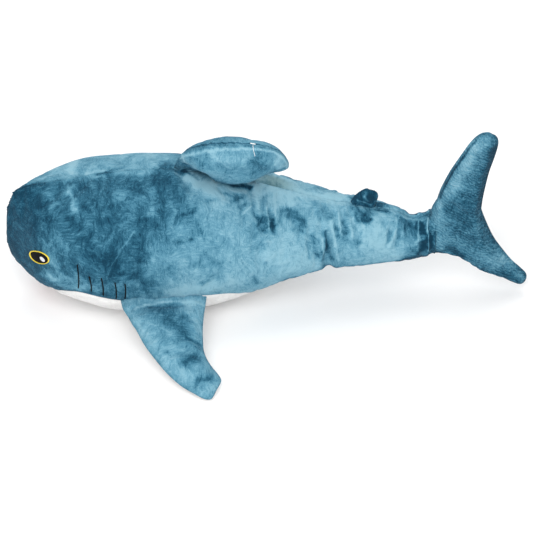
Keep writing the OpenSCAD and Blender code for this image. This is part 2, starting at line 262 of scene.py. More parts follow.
# Gathers and folds: s, angle, s, angle at the two ends, width, depth (a valley is negative)
FOLDS = [
    # the waist, where the seam is gathered: one deep crease and the smaller ones beside it
    (495, 14, 496, 84, 6, -4.6), (496, 84, 497, 122, 4, -3.6), (485, 60, 487, 112, 5, 1.6),
    (509, 40, 510, 88, 6, 1.6), (510, 88, 502, 140, 4, 2.2), (473, 118, 479, 70, 4, -2.2),
    (505, 128, 524, 122, 4, -2.0), (511, 156, 517, 120, 3.5, 1.6), (521, 146, 524, 126, 4, -2.0),
    (466, 112, 469, 84, 3.5, -1.4), (530, 148, 534, 116, 3.5, 1.3), (538, 140, 544, 110, 5, -1.4),
    # gathers behind the dorsal fin
    (358, 158, 367, 136, 4, -1.8), (365, 140, 378, 149, 3, 1.4), (376, 174, 385, 138, 4, -1.6),
    (389, 140, 397, 124, 4, -2.2), (402, 152, 406, 126, 3, 1.8), (410, 146, 417, 124, 4, -2.4),
    (414, 170, 416, 132, 3, 1.4), (426, 152, 424, 134, 3.5, -1.5), (440, 147, 446, 132, 5, -1.6),
    (396, 172, 395, 148, 3.5, -1.4),
    # the tail root
    (642, 40, 641, 165, 5.5, -2.6), (635, 60, 634, 166, 3, 1.4), (650, 66, 650, 168, 3, 1.6),
    (655, 20, 655, 168, 2.6, -2.4), (592, 130, 588, 100, 3.5, -2.0), (601, 132, 590, 94, 3, 1.6),
    (606, 124, 602, 96, 3.5, -1.6), (610, 60, 645, 99, 6, -1.8), (616, 118, 646, 106, 4, 1.4),
    (622, 160, 618, 124, 4, -1.4),
    # drawn toward the pectoral fin
    (196, 62, 214, 100, 9, -2.0), (288, 62, 272, 100, 9, -2.0), (236, 64, 240, 84, 12, 1.6),
    (300, 66, 330, 88, 10, -1.5),
    # beside the dorsal fin's root, and small creases on the flank
    (268, 178, 284, 160, 7, -3.0), (300, 160, 340, 150, 10, 2.0), (352, 170, 378, 164, 8, -2.4),
    (260, 118, 287, 120, 4, -1.2), (273, 139, 296, 143, 4, -1.2), (310, 150, 322, 152, 4, -1.4),
    (306, 106, 330, 97, 7, -1.4), (381, 80, 386, 64, 5, -1.8), (199, 128, 165, 103, 3, 0.9),
    (165, 103, 157, 88, 3, 0.8),
    # the cheek and the brow
    (30, 150, 75, 158, 12, -1.6), (62, 60, 100, 84, 12, 1.6), (118, 70, 160, 88, 16, -1.2),
    (104, 130, 150, 150, 18, 1.4),
]
# Gill lines: s and z at the top, then at the bottom
GILLS = [
    (111, 133, 111, 79), (129, 115, 131.5, 78), (148, 114, 150.5, 72), (169, 105, 170.5, 65),
    (184.5, 103, 184, 65),
]
# how deep a seam sinks and how wide its groove is, how much the nose is blunted, how much
# farther the nose's seam counts, and where the tail is sewn on
SEAM_DEPTH = 3.2
SEAM_WIDTH = 4.5
NOSE_BULGE = 1.7
NOSE_STRETCH = 2.6
TAIL_SEAM = 658.0


def flank_angle(s, z):
    return np.degrees(np.arccos(np.clip((middle_z(s) - z) / half_height(s), -1, 1)))


def seam_distance(s, angle):
    """Distance in millimetres from the nearest seam between the body's panels."""
    to_back = np.radians(180 - angle) * mean_radius(s)
    to_belly = np.radians(np.abs(angle - belly_angle(s))) * mean_radius(s)
    to_nose = s * NOSE_STRETCH
    to_tail = np.abs(TAIL_SEAM - s)
    return np.minimum(np.minimum(to_back, to_belly), np.minimum(to_nose, to_tail))


def relief(s, angle, side):
    """How far the stuffed fabric stands proud of the CAD's smooth body, in millimetres."""
    girth = girth_of(s, angle)
    near_seam = seam_distance(s, angle)
    point = base_point(s, angle, side)
    # sunk at the seams, with a soft roll and puckers beside them; the back seam is flatter
    flat_seam = smooth(angle, 120, 150) * (1 - smooth(s, 230, 300))
    out = -0.6 - SEAM_DEPTH * (1 - 0.75 * flat_seam) * bell(near_seam, 0, SEAM_WIDTH)
    out += 1.2 * bell(near_seam, 12, 9)
    pucker = fractal(point, 13, 2, seed=3 + side)
    pucker *= np.where(angle < belly_angle(s), 2.2, 1.1)
    out += pucker * np.exp(-near_seam / 13) * np.clip(near_seam / 4, 0, 1)
    # the right side's gathers are a little out of step with the left side's
    drift = 6 if side > 0 else 0
    for s0, angle0, s1, angle1, width, depth in FOLDS:
        shift = drift * math.sin(s0)
        bend = 3 * fractal(point, 45, 1, seed=s0 / 90)
        out += depth * stroke(s + bend, girth, spot(s0, angle0, shift), spot(s1, angle1, shift), width)
    for top_s, top_z, low_s, low_z in GILLS:
        top, low = spot(top_s, flank_angle(top_s, top_z)), spot(low_s, flank_angle(low_s, low_z))
        out -= 1.3 * stroke(s, girth, top, low, 3.5)
    # uneven stuffing, and crushed pile where the fabric is gathered
    lumps = fractal(point, 80, 2, seed=9 + side) * 2.2
    crush = fractal(point, 16, 2, seed=5 + side, stretch=(1.6, 0.6, 0.6))
    gathered = bell(s, 497, 38) + 0.8 * bell(s, 640, 22) + 0.35 * bell(s, 400, 55)
    out += lumps * smooth(near_seam, 4, 40) + 1.5 * crush * gathered
    # thinner or fuller than the CAD: tail root below and above, snout, rear of the belly, chin
    out -= 3.0 * smooth(s, 600, 640) * smooth(-angle, -80, -30)
    out += 3.6 * smooth(s, 632, 648) * smooth(angle, 110, 160)
    out -= 2.6 * (1 - smooth(s, 8, 55)) * smooth(angle, 115, 150)
    out += 1.4 * smooth(s, 300, 420) * smooth(70 - angle, 0, 30)
    out += 2.4 * bell(s, 55, 45) * smooth(80 - angle, 0, 30)
    above_floor = smooth(point[..., 2], 0, 14)
    return out * above_floor


# Tone along the body, each a list of places and of values there: where the dark head gives
# way to the lighter rear (s against angle), the head, the rear, and the line beyond which the
# back's top is lighter, from pile brushed the other way and painted light from above
NAP_FRONT = ([60, 90, 110, 137, 160, 175], [196, 204, 217, 238, 257, 268])
NAP_HEAD = ([0, 40, 90, 200], [-0.82, -0.66, -0.48, -0.42])
NAP_REAR = ([200, 300, 340, 440, 480, 500, 545, 590, 620, 661],
            [0.26, 0.36, 0.42, 0.62, 0.5, 0.22, 0.42, 0.45, 0.15, -0.6])
BACK_NAP_AND_LIGHT_LINE = ([30, 130, 148, 162, 185, 222, 240, 280], [1, 1, 5, 0, -9, -9, 11, 13])


def nap_and_shade_tone(s, angle, side):
    """How the brushed pile looks over the body, with painted shade and painted light added:
    -1 is dark, 1 is light.
    """
    point = base_point(s, angle, side)
    front = np.interp(angle, *NAP_FRONT)
    head, rear = np.interp(s, *NAP_HEAD), np.interp(s, *NAP_REAR)
    change = smooth(s + 20 * fractal(point, 34, 3, seed=31 + side), front - 30, front + 66)
    tone = head + (rear - head) * change
    # the back's top beyond a wavering line near the back seam is lighter: its pile is brushed the
    # other way there, and painted light from above adds to it
    across = side * (180 - angle) + 9 * fractal(point, 42, 3, seed=40)
    line = np.interp(s, *BACK_NAP_AND_LIGHT_LINE)
    over = smooth(across, line - 5, line + 9) * smooth(s, 14, 50) * (1 - smooth(s, 240, 330))
    if side > 0:
        over = over * smooth(angle, 95, 130)
        tone = tone + 0.4 * bell(s, 508, 30) * smooth(angle, 135, 160)
        # painted shade on the back behind the dorsal fin, also tinted grey there by the material
        tone = tone - 0.4 * bell(s, 408, 26) * smooth(angle, 158, 170)
    tone = tone + (0.2 + 0.22 * bell(s, 100, 60) + 0.3 * bell(s, 235, 40) - tone) * over
    # painted shade along the underside of the rear body
    tone = tone - 0.8 * smooth(s, 380, 450) * smooth(62 - angle, 0, 22)
    girth = girth_of(s, angle)
    wander_s = 8 * fractal(point, 16, 3, seed=21 + side)
    wander_g = 8 * fractal(point, 16, 3, seed=24 + side)
    for s0, angle0, s1, angle1, width, level in NAP_AND_SHADE_STROKES:
        loose = 0.3 if width < 4 else 1
        tone = tone + level * stroke(s + wander_s * loose, girth + wander_g * loose,
                                     spot(s0, angle0), spot(s1, angle1), width)
    return tone


# Brushed patches of the pile, with painted shade along creases and painted highlight along
# ridges: s, angle, s, angle at the two ends, width, lighter or darker
NAP_AND_SHADE_STROKES = [
    # head and gills, with painted highlight along a small ridge on the flank
    (206, 90, 240, 74, 13, -0.45), (60, 150, 75, 128, 12, -0.3), (178, 158, 198, 144, 12, 0.4),
    (240, 160, 246, 122, 12, -0.14), (130, 118, 150, 104, 12, -0.3), (330, 80, 380, 84, 14, 0.25),
    (256, 88, 290, 84, 10, 0.25), (204, 134, 208, 108, 11, -0.3), (124, 168, 134, 156, 8, -0.3),
    (112, 92, 136, 84, 9, 0.35), (276, 68, 300, 66, 8, 0.6), (284, 172, 312, 160, 11, 0.5),
    (160, 179, 176, 174, 7, -0.45), (132, 177, 148, 176, 6, 0.7), (222, 160, 226, 140, 8, 0.3),
    (158, 140, 170, 136, 8, -0.35), (312, 114, 326, 112, 8, -0.3), (284, 104, 296, 100, 8, -0.3),
    (136, 128, 148, 122, 8, -0.2), (52, 66, 76, 72, 7, 0.35), (100, 170, 107, 148, 7, 0.85),
    (76, 128, 92, 112, 8, 0.45), (232, 120, 226, 104, 7, 0.35), (70, 74, 108, 82, 11, 0.7),
    (112, 72, 196, 86, 9, 0.35), (264, 150, 292, 126, 16, -0.35), (199, 128, 165, 103, 1.6, 0.55),
    (165, 103, 157, 90, 1.6, 0.4), (14, 62, 30, 50, 6, -0.4), (70, 122, 78, 96, 7, 0.3),
    (168, 112, 176, 92, 12, -0.4), (70, 146, 85, 152, 6, 0.5), (62, 108, 76, 88, 7, 0.5),
    (90, 118, 94, 100, 9, 0.1), (30, 112, 45, 128, 12, -0.25), (88, 66, 125, 76, 8, 0.45),
    (98, 140, 112, 132, 9, -0.25), (110, 96, 135, 86, 9, -0.3), (140, 130, 150, 116, 10, 0.25),
    (58, 170, 70, 160, 5, 0.3), (36, 80, 52, 72, 7, -0.2),
    # saddle below the dorsal fin, a painted shadow line under the fin and painted shade in the
    # slit at its root, and painted shade in the small creases on the flank
    (284, 170, 324, 155, 12, 0.4), (330, 150, 352, 160, 10, 0.3), (260, 118, 287, 120, 2.6, -0.5),
    (273, 139, 296, 143, 2.6, -0.4), (311, 150, 322, 152, 2.6, -0.5), (307, 106, 330, 97, 7, -0.45),
    (306, 82, 323, 87, 6, -0.4), (337, 158, 348, 156, 3, -0.4), (245, 72, 353, 75, 10, 0.3),
    (300, 128, 306, 118, 2.6, -0.3), (382, 78, 386, 66, 3.4, -0.6), (345, 120, 372, 108, 9, -0.2),
    (252, 150, 262, 140, 2.4, 0.4), (255, 98, 262, 84, 8, -0.25), (336, 169.5, 378, 169.5, 3.6, -1.4),
    (272, 180, 298, 169, 2.6, -1.1), (262, 177, 296, 165, 2.6, 0.7), (280, 176, 316, 167, 7, 0.6),
    (378, 175, 404, 172, 6, 0.5), (384, 172, 396, 166, 5, 0.4), (412, 172, 440, 160, 8, 0.45),
    (498, 174, 510, 166, 8, 0.4), (326, 160, 352, 156, 6, -0.3), (246, 78, 308, 75, 11, 0.5),
    # gathers behind the dorsal fin: crushed pile, with painted shade in their valleys and
    # painted highlight on their ridges
    (394, 140, 412, 130, 8, -0.6), (402, 140, 412, 127, 6, -0.5), (358, 157, 366, 138, 5, -0.6),
    (350, 152, 366, 160, 4, -0.5), (365, 140, 377, 148, 1.8, 0.8), (376, 128, 392, 118, 12, -0.35),
    (376, 172, 384, 140, 3, -0.4), (384, 170, 390, 148, 2, 0.5), (390, 138, 398, 125, 5, -0.85),
    (398, 170, 396, 146, 2.4, -0.4), (402, 150, 406, 128, 1.6, 0.9), (409, 144, 417, 125, 5, -0.95),
    (414, 168, 416, 132, 1.6, 0.7), (426, 150, 424, 136, 3, -0.4), (437, 147, 455, 136, 8, -1.0),
    (446, 130, 460, 123, 5, -0.45), (376, 112, 398, 108, 7, -0.35), (430, 170, 434, 154, 2.4, -0.3),
    (407, 108, 465, 78, 26, 0.25), (440, 176, 530, 172, 8, 0.5), (398, 178, 440, 170, 5, 0.4),
    # waist: crushed pile, with painted shade in its creases and painted highlight on their ridges
    (473, 118, 480, 84, 3.4, -0.7), (486, 112, 489, 88, 1.8, 0.7), (494, 122, 497, 97, 3.4, -1.1),
    (492, 97, 501, 76, 3.2, -0.9), (501, 140, 508, 104, 2.4, 0.9), (508, 104, 514, 72, 2.6, 0.6),
    (505, 132, 524, 124, 3.2, -0.6), (516, 120, 540, 106, 7, -0.6), (520, 143, 524, 130, 2.6, -0.7),
    (511, 154, 517, 120, 1.8, 0.8), (477, 166, 484, 146, 6, -0.4), (490, 160, 500, 140, 5, -0.35),
    (466, 110, 469, 86, 2.4, -0.5), (530, 146, 534, 118, 2, 0.5), (482, 116, 486, 90, 2.6, -0.5),
    (484, 90, 492, 68, 4.5, -0.6), (534, 136, 542, 112, 6, -0.5),
    # behind the small rear fin: painted shade behind the fin, and lighter patches and lines beside it
    (536, 172, 553, 141, 8, -0.95), (562, 173, 558, 146, 8, -0.7), (574, 174, 582, 166, 5, -0.5),
    (566, 150, 572, 128, 6, 0.45), (575, 178, 588, 164, 6, -0.7), (545, 120, 598, 84, 20, 0.4),
    (545, 156, 551, 132, 1.8, 0.6), (536, 150, 543, 128, 1.8, 0.5),
    # tail root: crushed pile, with painted shade in its creases and painted highlight on their ridges
    (592, 128, 588, 104, 2.4, -0.8), (601, 130, 590, 96, 2, 0.6), (606, 122, 602, 98, 2.4, -0.6),
    (622, 158, 634, 134, 7, -0.8), (606, 168, 612, 138, 8, -0.6), (602, 158, 600, 112, 1.8, 0.6),
    (611, 144, 611, 118, 1.8, 0.6), (608, 126, 620, 108, 8, -0.2), (600, 168, 640, 166, 5, 0.4),
    (638, 154, 646, 106, 6, -0.9), (612, 44, 645, 92, 7, -1.0), (635, 166, 634, 112, 1.6, 1.2),
    (650, 164, 650, 76, 1.6, 1.3), (655, 166, 654, 70, 2.2, -0.8), (612, 102, 641, 110, 5, 0.5),
    (620, 158, 618, 128, 1.8, 0.4),
]

# ---------------------------------------------------------------- meshes


def new_piece(name, points_mm, faces, slot, attributes=None):
    mesh = bpy.data.meshes.new(name)
    mesh.from_pydata((np.asarray(points_mm, float) * MM).tolist(), [], faces)
    mesh.update()
    mesh.polygons.foreach_set("use_smooth", [True] * len(mesh.polygons))
    rest = mesh.attributes.new("rest", "FLOAT_VECTOR", "POINT")
    rest.data.foreach_set("vector", (np.asarray(points_mm, float) * MM).ravel())
    for key, values in (attributes or {}).items():
        layer = mesh.attributes.new(key, "FLOAT", "POINT")
        layer.data.foreach_set("value", np.asarray(values, np.float32).ravel())
    piece = bpy.data.objects.new(name, mesh)
    bpy.context.collection.objects.link(piece)
    return piece


CLOTH_FRAMES = 20
# the sheet starts this share of its limit below the given surface
DEFLATE = 0.65
# how much more cloth there is than the shape takes; it gathers at the seams
EXTRA_CLOTH = 0.02
PRESSURE = 4.0


def settle(points_mm, faces, pinned, limit):
    """Blow a sheet of cloth up a little, held where pinned is 1, and give its new points.
    limit caps, in millimetres, how far a point moves from the sunk sheet it starts in."""
    start = np.asarray(points_mm, float)
    sink = DEFLATE * limit * (1 - pinned)
    start = start - vertex_normals(start, [f[:3] for f in faces]) * sink[:, None]
    mesh = bpy.data.meshes.new("sheet")
    mesh.from_pydata((start * MM).tolist(), [], faces)
    sheet = bpy.data.objects.new("sheet", mesh)
    bpy.context.collection.objects.link(sheet)
    group = sheet.vertex_groups.new(name="pinned")
    levels = np.round(pinned, 1)
    for level in np.unique(levels[levels > 0]):
        group.add(np.nonzero(levels == level)[0].tolist(), float(level), "REPLACE")
    cloth = sheet.modifiers.new("cloth", "CLOTH")
    cloth.settings.quality = 5
    cloth.settings.mass = 0.3
    cloth.settings.tension_stiffness = 15
    cloth.settings.compression_stiffness = 15
    cloth.settings.bending_stiffness = 0.3
    cloth.settings.shrink_min = -EXTRA_CLOTH
    cloth.settings.use_pressure = True
    cloth.settings.uniform_pressure_force = PRESSURE
    cloth.settings.vertex_group_mass = "pinned"
    cloth.settings.effector_weights.gravity = 0
    cloth.collision_settings.use_collision = False
    cloth.point_cache.frame_end = CLOTH_FRAMES
    scene = bpy.context.scene
    for number in range(1, CLOTH_FRAMES + 1):
        scene.frame_set(number)
    made = sheet.evaluated_get(bpy.context.evaluated_depsgraph_get()).data
    moved = np.empty(len(mesh.vertices) * 3)
    made.vertices.foreach_get("co", moved)
    moved = moved.reshape(-1, 3) / MM - start
    scene.frame_set(1)
    bpy.data.objects.remove(sheet)
    far = np.linalg.norm(moved, axis=1, keepdims=True)
    return start + moved * (np.tanh(far / limit) * limit / np.maximum(far, 1e-6))


# thickness of the plush fabric, and the least height of the body over the floor
FABRIC = 2.0
FLOOR_GAP = 0.2


def grid_normals(points):
    """Unit normals of a grid of points, pointing along (second axis) x (first axis)."""
    return unit(np.cross(np.gradient(points, axis=1), np.gradient(points, axis=0)))


def grid_faces(n, m, wrapped=False):
    """Four-sided faces of a grid of n by m points, whose last column may meet its first."""
    index = np.arange(n * m).reshape(n, m)
    if wrapped:
        index = np.concatenate([index, index[:, :1]], 1)
    corners = index[:-1, :-1], index[1:, :-1], index[1:, 1:], index[:-1, 1:]
    return np.stack(corners, -1).reshape(-1, 4).tolist()


def boundary_edges(faces):
    """Edges that only one face has, in that face's direction."""
    edges = {}
    for f in faces:
        for a, b in zip(f, f[1:] + f[:1]):
            if (b, a) in edges:
                del edges[(b, a)]
            else:
                edges[(a, b)] = True
    return list(edges)


def slab(top, low, faces):
    """Points and faces of the closed sheet that has these faces on both its sides."""
    count = len(top)
    back = [[v + count for v in f[::-1]] for f in faces]
    rim = [[a, b, b + count, a + count] for b, a in boundary_edges(faces)]
    return np.concatenate([top, low]), faces + back + rim


def grid_slab(top, low, wrapped=False):
    """A closed sheet between two grids of points."""
    faces = grid_faces(*top.shape[:2], wrapped)
    return slab(top.reshape(-1, 3), low.reshape(-1, 3), faces)


def path_lengths(points):
    """How far along a line of points each of them is."""
    return np.append(0, np.cumsum(np.linalg.norm(np.diff(points, axis=0), axis=1)))


def shell_grid(name, outer, normals, slot, attributes):
    """A closed shell of fabric from a grid of outside points."""
    inner = outer - normals * FABRIC
    inner[..., 2] = np.maximum(inner[..., 2], outer[..., 2].min() + 0.05)
    points, faces = grid_slab(outer, inner)
    i, j = outer.shape[0] // 2, outer.shape[1] // 2
    turn = np.cross(outer[i + 1, j] - outer[i, j], outer[i, j + 1] - outer[i, j])
    if np.sum(turn * normals[i, j]) < 0:
        faces = [f[::-1] for f in faces]
    both = {key: np.tile(values.ravel(), 2) for key, values in attributes.items()}
    return new_piece(name, points, faces, slot, both)


def body_stations(step):
    """Distances from the snout whose spacing along the surface is even."""
    fine = np.linspace(0, 1, 4000) ** 2 * BODY_END
    length = path_lengths(np.stack([fine, half_width(fine)], -1))
    return np.interp(np.linspace(0, length[-1], int(length[-1] / step)), length, fine)


def skin(s, angle, side):
    """The stuffed surface before its cloth settles."""
    return base_point(s, angle, side) + base_normal(s, angle, side) * relief(s, angle, side)[..., None]


def from_axis(s, points):
    """Points as seen from the middle of the body beside them."""
    return points - np.stack([points[..., 0], np.zeros_like(s), middle_z(s)], -1)


def panel(name, side, rows, low, high, columns, slot):
    """One sewn panel of the body between two angles, each a function of s. Side 0 is both sides."""
    even = np.linspace(0, 1, columns)
    across = (1 - np.cos(np.pi * even)) / 2 * 0.35 + even * 0.65
    s = np.repeat(rows[:, None], columns, 1)
    angle = high(rows)[:, None] + (low(rows) - high(rows))[:, None] * across
    if side:
        points = skin(s, angle, side)
        tone = nap_and_shade_tone(s, angle, side)
    else:
        on_left = angle < 0
        angle = np.abs(angle)
        points = np.where(on_left[..., None], skin(s, angle, -1), skin(s, angle, 1))
        tone = np.zeros_like(s)
    points[..., 0] -= NOSE_BULGE * np.exp(-s / 6) * np.sin(np.radians(angle)) ** 2
    points[..., 2] = np.maximum(points[..., 2], FLOOR_GAP)
    quads = grid_faces(*s.shape)
    turn = np.cross(points[1:, :-1] - points[:-1, :-1], points[:-1, 1:] - points[:-1, :-1])
    if np.sum(turn * from_axis(s, points)[:-1, :-1]) < 0:
        quads = [f[::-1] for f in quads]
    edge = seam_distance(s, angle)
    held = bell(edge, 0, 3)
    held[[0, -1], :] = 1
    held[:, [0, -1]] = 1
    held = np.maximum(held, smooth(12 - points[..., 2], 0, 8))
    points = settle(points.reshape(-1, 3), quads, held.ravel(), 3.0).reshape(points.shape)
    points[..., 2] = np.maximum(points[..., 2], FLOOR_GAP)
    normals = grid_normals(points)
    normals = normals * np.sign(np.sum(normals * from_axis(s, points), -1).mean())
    # where painted shade, grey-tinted in the material, lies on the right side's back behind the dorsal
    # fin
    painted_shade = bell(s, 414, 28) * smooth(angle, 158, 168) * (side > 0)
    return shell_grid(name, points, normals, slot, {"tone": tone, "seam": edge, "painted_shade": painted_shade})


# half the slit between two panels, in millimetres
SEAM_GAP = 0.12


def seam_gap(s):
    """Half the slit between two panels, as an angle."""
    return np.degrees(SEAM_GAP / np.maximum(half_width(s), 1))


def back_edge(s):
    return 180.0 - seam_gap(s)


def flank_edge(s):
    return belly_angle(s) + seam_gap(s)


def belly_right(s):
    return belly_angle(s) - seam_gap(s)


def belly_left(s):
    return -belly_right(s)


def make_body():
    step, flank_columns, belly_columns = ((2.6, 96, 61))
    rows = body_stations(step)
    left, right = [
        panel(f"{word}_flank", side, rows, flank_edge, back_edge, flank_columns, "blue_plush")
        for word, side in SIDES
    ]
    rows = rows[belly_angle(rows) > 1.2]
    belly = panel("belly", 0, rows, belly_left, belly_right, belly_columns, "white_plush")
    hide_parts("left_flank_panel", "front_stuffing")
    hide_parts("right_flank_panel", "rear_stuffing")
    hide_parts("belly_panel")
    return left, right, belly


# ---------------------------------------------------------------- fins


def smooth_line(points, step):
    """A smooth line through points, from the first to the last, sampled evenly."""
    p = np.array(points, float)
    dense = []
    for i in range(len(p) - 1):
        a, b = p[i], p[i + 1]
        before = p[i - 1] if i > 0 else 2 * a - b
        after = p[i + 2] if i + 2 < len(p) else 2 * b - a
        t = np.linspace(0, 1, 24, endpoint=False)[:, None]
        dense.append(hermite(t, a, b, (b - before) / 2, (after - a) / 2))
    dense = np.concatenate(dense + [p[-1:]])
    length = path_lengths(dense)
    at = np.linspace(0, length[-1], max(int(length[-1] / step), 8))
    return np.stack([np.interp(at, length, dense[:, k]) for k in range(2)], -1)


def nearest_on(line, points):
    """Distance to a polyline, the direction away from it, and how far along it that is."""
    a, b = line[:-1], line[1:]
    ab = b - a
    ap = points[:, None, :] - a[None]
    t = np.clip(np.sum(ap * ab[None], -1) / np.maximum(np.sum(ab * ab, -1), 1e-9), 0, 1)
    away = ap - t[..., None] * ab[None]
    d = np.linalg.norm(away, axis=-1)
    k = d.argmin(1)
    rows = np.arange(len(points))
    along = path_lengths(line)[k] + t[rows, k] * np.linalg.norm(ab[k], axis=1)
    best = d[rows, k]
    return best, away[rows, k] / np.maximum(best, 1e-6)[:, None], along


def flat_fin(outline, step):
    """Triangles that fill a fin's outline. The outline runs from one end of the root to the
    other round the free edge; the root closes it."""
    free = smooth_line(outline, step)
    count = max(int(np.linalg.norm(free[-1] - free[0]) / step), 2)
    root = free[-1] + (free[0] - free[-1]) * np.linspace(0, 1, count + 1)[1:-1, None]
    ring = np.concatenate([free, root])
    low, high = ring.min(0), ring.max(0)
    inner = []
    row_gap = step * math.sqrt(3) / 2
    for j, y in enumerate(np.arange(low[1], high[1], row_gap)):
        for x in np.arange(low[0] + (j % 2) * step / 2, high[0], step):
            inner.append((x, y))
    inner = np.array(inner)
    closed = np.concatenate([ring, ring[:1]])
    clear = nearest_on(closed, inner)[0]
    inner = inner[clear > 0.55 * step]
    every = np.concatenate([ring, inner])
    result = geometry.delaunay_2d_cdt(
        [Vector(p) for p in every], [], [list(range(len(ring)))], 1, 1e-6)
    points = np.array([tuple(v) for v in result[0]])
    return points, [list(f) for f in result[2]], free


def relax(values, faces, fixed, times):
    """Laplacian smoothing of a value over a triangle mesh."""
    pairs = np.array([(f[i], f[(i + 1) % 3]) for f in faces for i in range(3)])
    pairs = np.concatenate([pairs, pairs[:, ::-1]])
    for _ in range(times):
        total = np.zeros(len(values))
        number = np.zeros(len(values))
        np.add.at(total, pairs[:, 0], values[pairs[:, 1]])
        np.add.at(number, pairs[:, 0], 1)
        values = np.where(fixed, values, (values + total / np.maximum(number, 1)) / 2)
    return values


def vertex_normals(points, faces):
    tri = np.array(faces)
    cross = np.cross(points[tri[:, 1]] - points[tri[:, 0]], points[tri[:, 2]] - points[tri[:, 0]])
    normals = np.zeros_like(points)
    for k in range(3):
        np.add.at(normals, tri[:, k], cross)
    return unit(normals)


def fin_faces(names, slots, outline, thickness, place, tone, rounding, creases, step=3.2,
              seam_pull=2.2, pucker=0.8, fringe=None):
    """The two stuffed faces of a fin, sewn along its free edge. thickness(p, side) is the half
    thickness where it is full; place(a, y, h) puts fin coordinates into the frame."""
    points, faces, free = flat_fin(outline, step)
    d, away, along = nearest_on(free, points)
    a, b, c = points[faces[0]]
    if np.cross(b - a, c - a) < 0:
        faces = [f[::-1] for f in faces]
    full = np.clip(d / rounding, 0, 1)
    on_edge = d < 0.01
    span = np.concatenate([points, np.zeros((len(points), 1))], 1)
    ripple = np.sin(along / 2.6 + 2.2 * fractal(span, 30, 2, seed=2))
    fold = pucker * ripple * np.exp(-d / 9) * np.clip(d / 5, 0, 1)
    fold += strokes_at(points[:, 0], points[:, 1], creases) * np.clip(d / 8, 0, 1)
    inward = unit(np.where(on_edge[:, None], points.mean(0) - points, away))
    flat = points + inward * (seam_pull * bell(d, 0, 3.5))[:, None]
    made = []
    for name, slot, side in zip(names, slots, (-1, 1)):
        swell = thickness(points, side) * np.sqrt(np.maximum(1 - (1 - full) ** 2, 0))
        swell = relax(swell, faces, on_edge, 10) + fold
        lumps = fractal(span, 34, 2, seed=4 + side) * 1.6 * np.clip(d / 20, 0, 1)
        y = side * np.maximum(swell + lumps * np.clip(swell / 8, 0, 1), 0) + side * 0.08
        outer = place(flat[:, 0], y, flat[:, 1])
        turned = [f[::-1] for f in faces] if side > 0 else faces
        normals = vertex_normals(outer, turned)
        middle = place(flat[:, 0], np.zeros(len(y)), flat[:, 1])
        if np.sum(normals * (outer - middle)) < 0:
            turned = [f[::-1] for f in turned]
        held = bell(d, 0, 3)
        held[np.unique(boundary_edges(turned))] = 1
        outer = settle(outer, turned, held, 2.5)
        thin = 0.1 + (FABRIC - 0.1) * smooth(d, 2, 12) * np.clip(np.abs(y) / 6, 0, 1)
        inner = outer - vertex_normals(outer, turned) * thin[:, None]
        marks = {"tone": tone(points, side), "seam": d,
                 "fringe": fringe(points, side) if fringe else np.zeros(len(points))}
        made.append(new_piece(name, *slab(outer, inner, turned), slot,
                              {key: np.tile(values, 2) for key, values in marks.items()}))
    return made


def axis_turn(axis, degrees):
    """Rotation matrix about one axis, 0 to 2."""
    c, s = math.cos(math.radians(degrees)), math.sin(math.radians(degrees))
    i, j = (axis + 1) % 3, (axis + 2) % 3
    turn = np.eye(3)
    turn[i, i] = turn[j, j] = c
    turn[i, j], turn[j, i] = -s, s
    return turn


def fin_turn(pitch, roll, yaw=0.0):
    """Turns fin coordinates: a along the hinge, y through the fin, h out from the hinge."""
    return axis_turn(2, yaw) @ axis_turn(1, pitch) @ axis_turn(0, roll)


def placer(origin, turn):
    """A function that puts fin coordinates into the frame."""
    def place(a, y, h):
        return np.stack([np.asarray(v, float) for v in (a, y, h)], -1) @ turn.T + origin

    return place


def hinge_place(name):
    """Where a joint's axis is, in metres."""
    joints = frame["record"]["behaviour"]["joints"]
    return np.array(next(j for j in joints if j["name"] == name)["pos_m"])


def fin_rows(pieces, parent, fin, start, end):
    """Each face of a fin with its two bodies, and where it changes from one to the other."""
    return [(piece, parent, fin, Vector(start), Vector(end)) for piece in pieces]


# Fins' outlines, along the hinge and out from it, from one end of the root round the free edge
# to its other end. The tail's are s and z.
DORSAL_OUTLINE = [
    (-5, -14), (-4, 8), (-3, 30), (-1, 46), (6, 60), (18, 74), (32, 86.5), (46, 95), (62, 102),
    (76, 107), (90, 111), (106, 114), (121, 113.5), (134, 110.5), (146, 103), (156.5, 90.5), (165, 72),
    (168.5, 55), (168, 42), (160, 28), (148, 18), (134, 4), (120, -10),
]
REAR_FIN_OUTLINE = [
    (-9, -8), (-7, 3), (-4, 10), (0, 17), (4, 21.5), (8, 24.5), (14, 25.5), (21, 25), (27.5, 22.5),
    (31.5, 16.5), (32.5, 9), (32, 0), (33, -8),
]
PECTORAL_OUTLINE = [
    (-5, -14), (-3, 2), (1, 12), (5, 21), (10, 35), (15, 45), (26, 76), (42, 107), (59.5, 134), (79, 157),
    (96.5, 171), (110, 181), (119, 184.5), (126, 182), (134, 167), (141.5, 153), (142, 145), (137, 134),
    (131, 124), (124, 108), (120, 90), (120, 70), (121, 45), (124, 20), (127, 4), (130, -14),
]
TAIL_OUTLINE = [
    (651, 149), (654.5, 163), (660.5, 174.5), (666.8, 195.7), (673, 211), (679.2, 225), (686, 238.5),
    (700, 263), (713, 285), (725, 299), (739, 303.5), (753, 299), (757.5, 285), (752.5, 260), (744, 230),
    (738, 200), (734, 172), (735, 150), (742, 126), (752, 101), (765, 79), (780, 57),
    (793, 43), (803, 30), (802, 17), (794, 9.5), (780, 14.5), (762, 25), (746, 33), (728, 42),
    (714, 52), (700, 62.5), (684, 71), (668, 75), (652, 74),
]
# from the dorsal hinge in the CAD to where the sewn fin's root is
DORSAL_SHIFT = (0, 2, -4)
